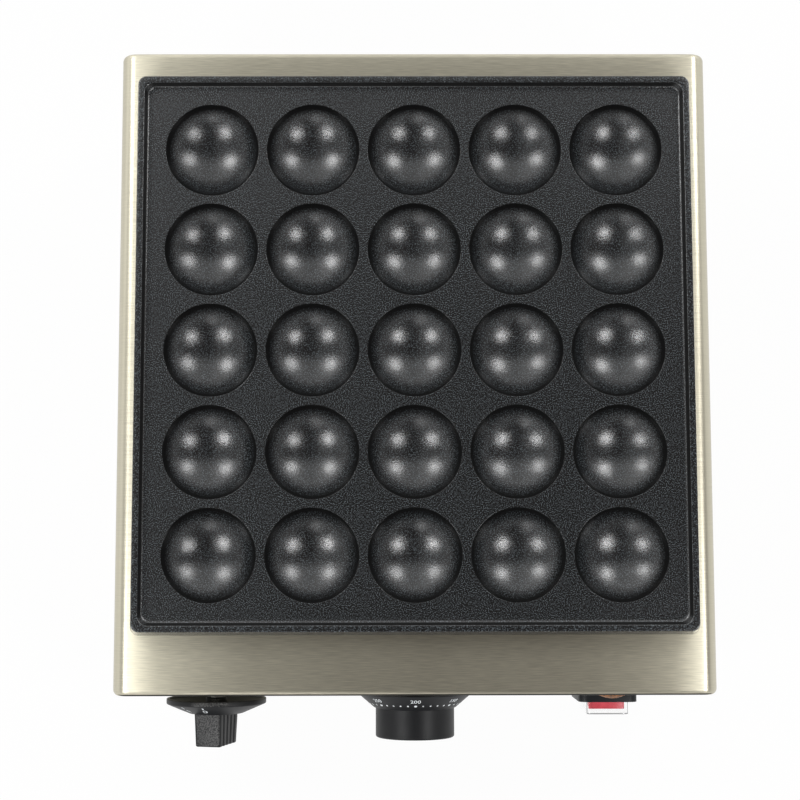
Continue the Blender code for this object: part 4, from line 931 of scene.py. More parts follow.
class PatternTree:
    """Builds a geometry tree that ends in Realize Instances and Set Material, and runs it on an object."""

    def __init__(self, name: str, **sizes: str) -> None:
        """Starts a tree that takes a base mesh, an item, its sizes and a material.

        Args:
            name: The tree's name.
            **sizes: The name of each size and its kind of socket.
        """
        self.tree = bpy.data.node_groups.new(name, "GeometryNodeTree")
        self.identifiers: dict[str, str] = {}
        inputs = {"Geometry": "Geometry", "Item": "Object", **sizes, "Material": "Material"}
        for label, kind in inputs.items():
            made = self.tree.interface.new_socket(label, in_out="INPUT", socket_type="NodeSocket" + kind)
            self.identifiers[label] = made.identifier
        self.tree.interface.new_socket("Geometry", in_out="OUTPUT", socket_type="NodeSocketGeometry")
        self.sketch = Sketch(self.tree)
        self.given = self.sketch.add("NodeGroupInput").outputs
        self.end = self.sketch.add("NodeGroupOutput")

    def spread(self, points: Socket, euler: Socket | None = None) -> Socket:
        """Returns the item repeated at each point, turned by an Euler angle where there is one.

        Args:
            points: The points.
            euler: The turn of each copy.

        Returns:
            The instances.
        """
        item = self.sketch.add("GeometryNodeObjectInfo", {"Object": self.given["Item"]})
        inputs = {"Points": points, "Instance": item.outputs["Geometry"]}
        if euler is not None:
            inputs["Rotation"] = self.sketch.add("FunctionNodeEulerToRotation", {0: euler}).outputs[0]
        return self.sketch.add("GeometryNodeInstanceOnPoints", inputs).outputs[0]

    def close(self, instances: Socket, with_base: bool = False) -> None:
        """Realizes the instances, welds them to the base mesh where asked, and sets the material.

        Args:
            instances: The instances.
            with_base: Whether the base mesh is welded on.
        """
        real = self.sketch.add("GeometryNodeRealizeInstances", {0: instances}).outputs[0]
        if with_base:
            joined = self.sketch.add("GeometryNodeJoinGeometry", {0: self.given["Geometry"]})
            self.sketch.feed(joined, {0: real})
            inputs = {"Geometry": joined.outputs[0], "Distance": MERGE_DISTANCE}
            real = self.sketch.add("GeometryNodeMergeByDistance", inputs).outputs[0]
        inputs = {"Geometry": real, "Material": self.given["Material"]}
        painted = self.sketch.add("GeometryNodeSetMaterial", inputs)
        self.sketch.feed(self.end, {0: painted.outputs[0]})

    def run(self, obj: Piece, item: Piece, finish: Finish, **sizes: object) -> Piece:
        """Runs the tree on an object and settles the result into its mesh.

        Args:
            obj: The object whose mesh the tree starts from.
            item: The object that the tree repeats, which is removed.
            finish: The finish of the result.
            **sizes: The value of each size.

        Returns:
            The object, with a plain mesh.
        """
        modifier = obj.modifiers.new("pattern", "NODES")
        modifier.node_group = self.tree
        for name, value in {"Item": item, **sizes, "Material": finish.material()}.items():
            modifier[self.identifiers[name]] = value
        settle(obj)
        discard(item)
        return obj


class GridTree(PatternTree):
    """Repeats a square tile over a square grid and welds it to a border."""

    def __init__(self) -> None:
        """Builds the tree with its count, pitch and centre."""
        super().__init__("tile_grid", Count="Int", Pitch="Float", Centre="Vector")
        count, pitch = self.given["Count"], self.given["Pitch"]
        span = self.sketch.math("MULTIPLY", self.sketch.math("SUBTRACT", count, 1), pitch)
        sizes = {"Size X": span, "Size Y": span, "Vertices X": count, "Vertices Y": count}
        grid = self.sketch.add("GeometryNodeMeshGrid", sizes).outputs[0]
        inputs = {"Geometry": grid, "Translation": self.given["Centre"]}
        moved = self.sketch.add("GeometryNodeTransform", inputs)
        self.close(self.spread(moved.outputs[0]), with_base=True)


class RingTree(PatternTree):
    """Repeats an item round the Z axis, by an angle from one to the next."""

    def __init__(self) -> None:
        """Builds the tree with its count, first angle and step."""
        super().__init__("ring_of_marks", Count="Int", First="Float", Step="Float")
        inputs = {"Count": self.given["Count"], "Offset": (0, 0, 0)}
        line = self.sketch.add("GeometryNodeMeshLine", inputs)
        index = self.sketch.add("GeometryNodeInputIndex").outputs[0]
        turn = self.sketch.math("MULTIPLY_ADD", index, self.given["Step"], self.given["First"])
        euler = self.sketch.add("ShaderNodeCombineXYZ", {"Z": turn}).outputs[0]
        self.close(self.spread(line.outputs[0], euler))

    def marks(self, name: str, mark: Shape, count: int, first: float, step: float) -> Mesh:
        """Returns a ring of printed marks.

        Args:
            name: The ring's name.
            mark: The mark at the top of the ring, which is freed.
            count: How many marks there are.
            first: The first one's turn in radians.
            step: The turn from one to the next.

        Returns:
            The ring's mesh.
        """
        item = new_object(name + "_item", mesh_from(mark, name + "_item"))
        ring = new_object(name, bpy.data.meshes.new(name))
        self.run(ring, item, PRINT, Count=count, First=first, Step=step)
        mesh = ring.data
        discard(ring)
        return mesh


class RowTree(PatternTree):
    """Repeats an item in a straight row."""

    def __init__(self) -> None:
        """Builds the tree with its count, start and step."""
        super().__init__("straight_row", Count="Int", Start="Vector", Step="Vector")
        inputs = {
            "Count": self.given["Count"],
            "Start Location": self.given["Start"],
            "Offset": self.given["Step"],
        }
        line = self.sketch.add("GeometryNodeMeshLine", inputs)
        self.close(self.spread(line.outputs[0]))


class PlaceTree(PatternTree):
    """Puts an item at each point of the base mesh, turned by the point's own turn attribute."""

    def __init__(self) -> None:
        """Builds the tree, which has no sizes."""
        super().__init__("placed_copies")
        named = {"Name": "turn"}
        turn = self.sketch.add("GeometryNodeInputNamedAttribute", named, data_type="FLOAT_VECTOR").outputs[0]
        self.close(self.spread(self.given["Geometry"], turn))

    def copies(
        self, name: str, item: Shape, places: Sequence[tuple[Vector, Vector]], finish: Finish
    ) -> Piece:
        """Returns one object with a copy of the item at each place.

        Args:
            name: The object's name.
            item: The shape to copy, which is freed.
            places: A point and an Euler turn for each copy.
            finish: The finish of all the copies.

        Returns:
            The object.
        """
        helper = new_object(name + "_item", smoothed(mesh_from(item, name + "_item")))
        base = bpy.data.meshes.new(name)
        base.from_pydata([tuple(point) for point, _ in places], [], [])
        turns = base.attributes.new("turn", "FLOAT_VECTOR", "POINT")
        turns.data.foreach_set("vector", [value for _, turn in places for value in turn])
        return self.run(new_object(name, base), helper, finish)


@dataclass
class BakingPlate:
    """The coated casting: a grid of bowl tiles, welded to the floor's margin, the rim and the lip."""

    per_side: int = 5
    pitch: float = 0.050
    bowl_radius: float = 0.02305
    bowl_depth: float = 0.0144
    bowl_wall: float = 0.0018
    bowl_draft: float = 0.00045
    mouth_fillet: float = 0.0003
    margin: float = 0.0320
    rim_slope: float = 0.0016
    rim_width: float = 0.0030
    rim_height: float = 0.0033
    lip_draft: float = 0.0021
    lip_height: float = 0.0115
    lip_seat: float = 0.0067
    corner: float = 0.004
    inner_corner: float = 0.005
    floor_fillet: float = 0.001
    rim_edge: float = 0.0004
    lip_edge: float = 0.0003
    steps_per_side: int = 16
    corner_steps: int = 6
    bend_steps: int = 4
    cap_steps: int = 12
    crease: float = math.radians(50)

    def bowl_profile(self) -> Profile:
        """Returns (radius, height) points from the floor's edge of the bowl down to its pole.

        Returns:
            The points.
        """
        cap_radius = self.bowl_radius - self.bowl_draft
        cap_depth = self.bowl_depth - self.bowl_wall
        sphere = (cap_radius**2 + cap_depth**2) / (2 * cap_depth)
        reach = math.degrees(math.asin(cap_radius / sphere))
        mouth = [
            (self.bowl_radius + self.mouth_fillet, 0.0),
            (self.bowl_radius, 0.0),
            (cap_radius, -self.bowl_wall),
        ]
        profile = rounded(mouth, self.mouth_fillet, self.bend_steps)
        cap = arc((0.0, sphere - self.bowl_depth), sphere, reach - 90, -90, self.cap_steps)
        return profile + cap[1:-1] + [(0.0, -self.bowl_depth)]

    def tile(self) -> Shape:
        """Returns one square of floor with its bowl, centred on the origin.

        Returns:
            The shape.
        """
        bm = bmesh.new()
        half = self.pitch / 2
        count = 4 * self.steps_per_side
        square = []
        for side in range(4):
            turn = Matrix.Rotation(side * math.pi / 2, 3, "Z")
            for i in range(self.steps_per_side):
                point = turn @ Vector((half, -half + self.pitch * i / self.steps_per_side, 0))
                square.append(bm.verts.new(point))
        loops = [square]
        profile = self.bowl_profile()
        for radius, height in profile[:-1]:
            turn = [2 * math.pi * i / count - math.pi / 4 for i in range(count)]
            loops.append([bm.verts.new((radius * math.cos(a), radius * math.sin(a), height)) for a in turn])
        pole = bm.verts.new((0, 0, profile[-1][1]))
        for outer, inner in zip(loops, loops[1:]):
            for i in range(count):
                j = (i + 1) % count
                bm.faces.new((outer[i], outer[j], inner[j], inner[i]))
        for i in range(count):
            bm.faces.new((loops[-1][i], loops[-1][(i + 1) % count], pole))
        return bm

    def border_profile(self, back: float) -> Profile:
        """Returns (half width, height) points from the floor over the rim and lip to the casting's back.

        Args:
            back: The level of the casting's back, from the floor.

        Returns:
            The points.
        """
        floor = (self.per_side - 1) / 2 * self.pitch + self.margin
        rim_in = floor + self.rim_slope
        rim_out = rim_in + self.rim_width
        lip = rim_out + self.lip_draft
        rim_top = self.rim_height
        lip_bottom = rim_top - self.lip_height
        body = lip - self.lip_seat
        points = [
            (floor - self.rim_height, 0.0),
            (floor, 0.0),
            (rim_in, rim_top),
            (rim_out, rim_top),
            (lip, lip_bottom),
            (body, lip_bottom),
            (body, back),
            (body - self.lip_seat, back),
        ]
        radii = [0.0, self.floor_fillet, self.rim_edge, self.rim_edge] + 4 * [self.lip_edge]
        return rounded(points, radii, self.bend_steps)

    def ring(self, bm: Shape, half: float, height: float) -> list[bmesh.types.BMVert]:
        """Adds one square loop with rounded corners, whose straight runs match the tiles' edges.

        Args:
            bm: The border, which gets the loop.
            half: The loop's half width.
            height: Its level.

        Returns:
            The loop's vertices.
        """
        tiles = self.per_side * self.pitch / 2
        steps = self.per_side * self.steps_per_side
        inner = half < tiles + self.margin - self.pitch / 2 + self.rim_slope + self.rim_width / 2
        radius = min(self.inner_corner if inner else self.corner, max(half - tiles, 0.0))
        loop = []
        for side in range(4):
            turn = Matrix.Rotation(side * math.pi / 2, 3, "Z")
            points = [(half, -tiles + 2 * tiles * i / steps) for i in range(steps + 1)]
            points += arc((half - radius, half - radius), radius, 0, 90, self.corner_steps)
            loop += [bm.verts.new(turn @ Vector((x, y, 0)) + Vector((0, 0, height))) for x, y in points]
        return loop

    def border(self, back: float) -> Shape:
        """Returns the margin, rim, lip and back, which close the plate round the tiles.

        Args:
            back: The level of the casting's back, from the floor.

        Returns:
            The shape.
        """
        bm = bmesh.new()
        tiles = self.per_side * self.pitch / 2
        loops = [self.ring(bm, tiles, 0.0)]
        loops += [self.ring(bm, half, height) for half, height in self.border_profile(back)]
        for inner, outer in zip(loops, loops[1:]):
            for i in range(len(inner)):
                j = (i + 1) % len(inner)
                bm.faces.new((inner[i], outer[i], outer[j], inner[j]))
        bm.faces.new(loops[-1])
        bmesh.ops.remove_doubles(bm, verts=bm.verts, dist=MERGE_DISTANCE)
        return bm

    def build(self, grid: GridTree) -> None:
        """Builds the plate in the CAD plate's place.

        Args:
            grid: The tree that repeats the bowl's tile.
        """
        centre = box_centre("baking_plate")
        low, high = corners("baking_plate")
        floor_z = high.z - self.rim_height
        tile = new_object("bowl_tile", mesh_from(self.tile(), "bowl_tile"))
        border = self.border(low.z - floor_z)
        plate = new_object("coated_plate", mesh_from(border, "coated_plate"))
        grid.run(plate, tile, COATING, Count=self.per_side, Pitch=self.pitch, Centre=(0.0, 0.0, 0.0))
        bm = opened(plate.data)
        bmesh.ops.recalc_face_normals(bm, faces=bm.faces)
        bmesh.ops.translate(bm, verts=bm.verts, vec=(centre.x, centre.y, floor_z))
        bm.to_mesh(plate.data)
        bm.free()
        smoothed(plate.data, self.crease)
        finished(plate, COATING, Slot.COATING, Body.MACHINE, "baking_plate")


@dataclass
class Casing:
    """The folded shell with fine bends, its cut-out, its control holes and its rear vents."""

    sheet: float = 0.001
    crown_width: float = 0.016
    crown_drop: float = 0.00028
    crown_steps: int = 8
    side_bend: float = 0.0074
    side_bend_steps: int = 14
    end_bend: float = 0.0030
    end_bend_steps: int = 7
    switch_cutout_inset: float = 0.0019
    cutout_clearance: float = 0.0008
    plate_seat: float = 0.0067
    corner: float = 0.004
    corner_steps: int = 6
    hole_steps: int = 48
    timer_hole: float = 0.0051
    dial_hole: float = 0.004
    screw_hole: float = 0.0023
    lamp_hole: float = 0.0051
    gland_hole: float = 0.0061
    earth_hole: float = 0.0031
    vents: int = 7
    vent_x: float = -0.045
    vent_pitch: float = 0.013
    vent_width: float = 0.0036
    vent_width_per_corner: float = 2.05
    vent_length: float = 0.040
    overrun: float = 0.002

    def skin(self) -> Shape:
        """Returns the outer skin, open underneath.

        Returns:
            The shape.
        """
        low, high = corners("casing_shell")
        bm = block(low, high)
        sides = [e for e in bm.edges if self.lies_at(e, 2, high.z) and not self.at_end(e, low, high)]
        self.bend(bm, sides, self.side_bend, self.side_bend_steps)
        ends = [e for e in bm.edges if self.at_end(e, low, high) and not self.lies_at(e, 2, low.z)]
        self.bend(bm, ends, self.end_bend, self.end_bend_steps)
        opening = [f for f in bm.faces if self.lies_at(f, 2, low.z)]
        bmesh.ops.delete(bm, geom=opening, context="FACES")
        self.crown(bm, (low.x + high.x) / 2, (high.x - low.x) / 2 - self.side_bend, high.z)
        return bm

    def lies_at(self, item: bmesh.types.BMEdge | bmesh.types.BMFace, axis: int, level: float) -> bool:
        """Returns whether all of an edge or a face lies at one level of an axis."""
        return all(abs(vert.co[axis] - level) < self.sheet / 2 for vert in item.verts)

    def at_end(self, edge: bmesh.types.BMEdge, low: Vector, high: Vector) -> bool:
        """Returns whether an edge lies in the front or the rear face."""
        return self.lies_at(edge, 1, low.y) or self.lies_at(edge, 1, high.y)

    def crown(self, bm: Shape, middle: float, reach: float, top: float) -> None:
        """Lets the top sag a little towards its side bends, as folded sheet does.

        Args:
            bm: The skin.
            middle: The skin's middle along X.
            reach: Where the side bends start, from the middle.
            top: The top's level.
        """
        for i in range(self.crown_steps):
            for side in (-1, 1):
                start = reach - self.crown_width * i / self.crown_steps
                bmesh.ops.bisect_plane(
                    bm,
                    geom=[*bm.verts, *bm.edges, *bm.faces],
                    plane_co=(middle + side * start, 0.0, 0.0),
                    plane_no=(1.0, 0.0, 0.0),
                )
        for vert in bm.verts:
            share = (abs(vert.co.x - middle) - reach) / self.crown_width + 1
            height = max(0.0, 1 - (top - vert.co.z) / self.side_bend)
            vert.co.z -= self.crown_drop * min(max(share, 0.0), 1.0) ** 2 * height

    def bend(self, bm: Shape, edges: list[bmesh.types.BMEdge], radius: float, steps: int) -> None:
        """Rounds the edges to a bend's radius.

        Args:
            bm: The shape, which is changed.
            edges: The edges to round.
            radius: The bend's radius.
            steps: How many steps the rounding has.
        """
        bmesh.ops.bevel(
            bm, geom=edges, offset=radius, offset_type="OFFSET", segments=steps, profile=0.5, affect="EDGES"
        )

    def hole(self, name: str, node: str, radius: float, facing: Matrix, wall_y: float) -> Piece:
        """Returns a round cutter through a wall, centred on a CAD node.

        Args:
            name: The object's name.
            node: The CAD node.
            radius: The hole's radius.
            facing: The turn that leads out of the wall.
            wall_y: Where the wall is.

        Returns:
            The cutter.
        """
        reach = self.sheet + self.overrun
        bm = revolved([(0.0, -reach), (radius, -reach), (radius, reach), (0.0, reach)], self.hole_steps)
        bm.transform(seat_on(node, wall_y, facing))
        return new_object(name, mesh_from(bm, name))

    def cutter(self, name: str, middle: Vector, half: Vector, corner: float, axis: int) -> Piece:
        """Returns a box cutter by its middle and half sizes, with its edges along one axis rounded.

        Args:
            name: The object's name.
            middle: The box's middle.
            half: Its half sizes.
            corner: The radius of its edges.
            axis: The axis that these edges follow.

        Returns:
            The cutter.
        """
        bm = block(middle - half, middle + half)
        edges = [e for e in bm.edges if abs(e.verts[0].co[axis] - e.verts[1].co[axis]) > half[axis]]
        self.bend(bm, edges, corner, self.corner_steps)
        return new_object(name, mesh_from(bm, name))

    def vent_row(self, rows: RowTree, rear_y: float) -> Piece:
        """Returns one cutter with all the rear slots.

        Args:
            rows: The tree that repeats the slot.
            rear_y: Where the rear wall is.

        Returns:
            The cutter.
        """
        half = Vector((self.vent_width / 2, self.sheet + self.overrun, self.vent_length / 2))
        corner = self.vent_width / self.vent_width_per_corner
        slot = self.cutter("vent_slot", Vector(), half, corner, 1)
        base = new_object("vent_cutters", bpy.data.meshes.new("vent_cutters"))
        level = (corners("casing_shell")[0].z + corners("heat_shield")[0].z) / 2
        first = self.vent_x - (self.vents - 1) / 2 * self.vent_pitch
        step = (self.vent_pitch, 0.0, 0.0)
        return rows.run(base, slot, STEEL, Count=self.vents, Start=(first, rear_y, level), Step=step)

    def cutters(self, low: Vector, high: Vector, rows: RowTree) -> list[Piece]:
        """Returns the cutters of all the openings.

        Args:
            low: The shell's low corner.
            high: Its high corner.
            rows: The tree that repeats the rear slots.

        Returns:
            The cutters.
        """
        plate = box_centre("baking_plate")
        half = box_size("baking_plate").x / 2 - self.plate_seat + self.cutout_clearance
        through = self.sheet + self.overrun
        switch = box_centre("switch_frame")
        core = box_size("switch_body") / 2 - Vector((1.0, 1.0, 1.0)) * self.switch_cutout_inset
        holes = (
            ("timer_hole", "timer_nut", self.timer_hole),
            ("dial_hole", "thermostat_shaft", self.dial_hole),
            ("screw_hole_left", "thermostat_screw_1", self.screw_hole),
            ("screw_hole_right", "thermostat_screw_2", self.screw_hole),
            ("lamp_hole", "pilot_lamp_body", self.lamp_hole),
        )
        on_top, top_half = Vector((plate.x, plate.y, high.z)), Vector((half, half, through))
        on_front, front_half = Vector((switch.x, low.y, switch.z)), Vector((core.x, through, core.z))
        return [
            self.cutter("plate_cutout", on_top, top_half, self.corner, 2),
            self.cutter("switch_cutout", on_front, front_half, self.sheet, 1),
            *(self.hole(name, node, radius, FACING_FRONT, low.y) for name, node, radius in holes),
            self.hole("gland_hole", "cord_gland", self.gland_hole, FACING_REAR, high.y),
            self.hole("earth_hole", "earth_nut", self.earth_hole, FACING_REAR, high.y),
            self.vent_row(rows, high.y),
        ]

    def build(self, rows: RowTree) -> None:
        """Builds the shell in the CAD shell's place.

        Args:
            rows: The tree that repeats the rear slots.
        """
        shell = new_object("brushed_casing", mesh_from(self.skin(), "brushed_casing"))
        wall = shell.modifiers.new("sheet", "SOLIDIFY")
        wall.thickness = self.sheet
        wall.offset = -1
        wall.use_even_offset = True
        settle(shell)
        for cutter in self.cutters(*corners("casing_shell"), rows):
            combined(shell, cutter, "DIFFERENCE")
        finished(shell, STEEL, Slot.STEEL, Body.MACHINE, "casing_shell")


@dataclass
class Underside:
    """The base tray, its feet and its screws."""

    foot_height: float = 0.0147
    foot_top: float = 0.013
    foot_bottom: float = 0.011
    foot_edge: float = 0.0012
    foot_bore: float = 0.0026
    foot_sink: float = 0.0048
    foot_shoulder: float = 0.0087
    foot_steps: int = 48
    head_radius: float = 0.0036
    head_height: float = 0.0018
    head_flat: float = 0.6
    head_shoulder: float = 0.45
    head_edge: float = 0.0003
    head_steps: int = 24
    shank_radius: float = 0.00175
    recess: float = 0.0011
    tray_edge: float = 0.0002
    count: int = 4

    def foot(self) -> Shape:
        """Returns one tapered foot about its own axis, with its screw's bore and recess.

        Returns:
            The shape.
        """
        profile = [
            (self.foot_bore, self.foot_height),
            (self.foot_top, self.foot_height),
            (self.foot_bottom, self.foot_edge),
            (self.foot_bottom - self.foot_edge, 0.0),
            (self.foot_sink, 0.0),
            (self.foot_sink, self.foot_shoulder),
            (self.foot_bore, self.foot_shoulder),
        ]
        bent = rounded(profile, self.foot_edge / 2, closed=True)
        return revolved(bent, self.foot_steps, closed=True)

    def screw(self) -> Shape:
        """Returns a pan-head screw with a cross recess, its head above its origin.

        Returns:
            The shape.
        """
        length = box_size("base_screw_1").x - self.head_height
        profile = [
            (0.0, self.head_height),
            (self.head_radius * self.head_flat, self.head_height),
            (self.head_radius, self.head_height * self.head_shoulder),
            (self.head_radius, 0.0),
            (self.shank_radius, 0.0),
            (self.shank_radius, -length),
            (0.0, -length),
        ]
        turned = revolved(rounded(profile, self.head_edge, 2), self.head_steps)
        screw = new_object("screw_head", mesh_from(turned, "screw_head"))
        half = Vector((self.head_radius / 2, self.recess / 4, self.recess))
        for turn in (0.0, math.pi / 2):
            bm = block(-half, half)
            bm.transform(Matrix.Translation((0, 0, self.head_height)) @ Matrix.Rotation(turn, 4, "Z"))
            combined(screw, new_object("screw_recess", mesh_from(bm, "screw_recess")), "DIFFERENCE")
        bm = opened(screw.data)
        discard(screw)
        return bm

    def foot_place(self, node: str) -> tuple[Vector, Vector]:
        """Returns a foot's point on the ground and its turn, which is none."""
        centre = box_centre(node)
        return Vector((centre.x, centre.y, 0.0)), Vector()

    def screw_place(self, node: str) -> tuple[Vector, Vector]:
        """Returns a side screw's point under its head and its turn, which leads out of its side.

        Args:
            node: The CAD node.

        Returns:
            The point and the Euler turn.
        """
        low, high = corners(node)
        side = 1.0 if high.x > 0 else -1.0
        edge = high.x if side > 0 else low.x
        middle = box_centre(node)
        place = Vector((edge - side * self.head_height, middle.y, middle.z))
        return place, Vector((0.0, side * math.pi / 2, 0.0))

    def build(self, placer: PlaceTree) -> None:
        """Builds the tray, the four feet and the four side screws.

        Args:
            placer: The tree that copies the feet and screws.
        """
        softened("base_plate", "base_tray", self.tray_edge, GALVANISED, Slot.SHEET)
        for name, item, prefix, place, finish, slot in (
            ("rubber_feet", self.foot(), "foot", self.foot_place, RUBBER, Slot.RUBBER),
            ("side_screws", self.screw(), "base_screw", self.screw_place, ZINC, Slot.ZINC),
        ):
            nodes = [f"{prefix}_{i}" for i in range(1, self.count + 1)]
            copies = placer.copies(name, item, [place(node) for node in nodes], finish)
            finished(copies, finish, slot, Body.MACHINE, *nodes)


@dataclass
class ConeScale:
    """White marks wrapped on the conical skirt of a knob."""

    inner_radius: float
    inner_height: float
    outer_radius: float
    outer_height: float
    thickness: float = 0.00008
    curve_steps: int = 4

    def wrap(self, bm: Shape, angle: float, slant: float) -> None:
        """Lays flat marks on the cone.

        Args:
            bm: Marks drawn flat about the origin, upright when the knob's top is up.
            angle: Where their middle goes, clockwise from the top as seen from the front, in radians.
            slant: How far out along the cone their middle lies, as a distance from the inner edge.
        """
        slope = math.atan2(self.inner_height - self.outer_height, self.outer_radius - self.inner_radius)
        middle = self.inner_radius + slant * math.cos(slope)
        for vert in bm.verts:
            across, along, off = vert.co
            turned = angle + across / middle
            reach = slant + along
            radius = self.inner_radius + reach * math.cos(slope) + off * math.sin(slope)
            height = self.inner_height - reach * math.sin(slope) + off * math.cos(slope)
            vert.co = (radius * math.sin(turned), radius * math.cos(turned), height)

    def number(self, text: str, size: float, angle: float, slant: float) -> Shape:
        """Returns a number wrapped on the cone.

        Args:
            text: The number.
            size: The font's size in metres.
            angle: Where it goes, clockwise from the top, in radians.
            slant: How far out along the cone its middle lies.

        Returns:
            The shape.
        """
        curve = bpy.data.curves.new("number", "FONT")
        curve.body = text
        curve.size = size
        curve.align_x = "CENTER"
        curve.align_y = "CENTER"
        curve.extrude = self.thickness
        curve.resolution_u = self.curve_steps
        drawn = new_object("number", curve)
        bpy.context.view_layer.update()
        mesh = bpy.data.meshes.new_from_object(drawn.evaluated_get(bpy.context.evaluated_depsgraph_get()))
        discard(drawn)
        bm = opened(mesh)
        bmesh.ops.remove_doubles(bm, verts=bm.verts, dist=PRINT_MERGE_DISTANCE)
        bmesh.ops.recalc_face_normals(bm, faces=bm.faces)
        self.wrap(bm, angle, slant)
        return bm

    def mark(self, width: float, length: float, slant: float, sides: int) -> Shape:
        """Returns a mark at the top of the cone.

        Args:
            width: Its size round the cone.
            length: Its size along the cone.
            slant: How far out along the cone its middle lies.
            sides: How many sides it has. With four it is an upright rectangle, with more an oval.

        Returns:
            The shape.
        """
        full = math.sqrt(2) if sides == 4 else 1.0
        angles = [2 * math.pi * (i + 0.5) / sides for i in range(sides)]
        outline = [(width / 2 * math.cos(a) * full, length / 2 * math.sin(a) * full) for a in angles]
        bm = extruded(outline, -self.thickness, self.thickness)
        self.wrap(bm, 0.0, slant)
        return bm


def merged(name: str, pieces: Sequence[Shape | Mesh], seat: Matrix) -> Piece:
    """Returns one object that holds several meshes or bmeshes, moved to their seat but not welded.

    Args:
        name: The object's name.
        pieces: The shapes and meshes.
        seat: Where they go.

    Returns:
        The object.
    """
    whole = bmesh.new()
    for piece in pieces:
        whole.from_mesh(mesh_from(piece, name) if isinstance(piece, Shape) else piece)
    whole.transform(seat)
    return new_object(name, mesh_from(whole, name))


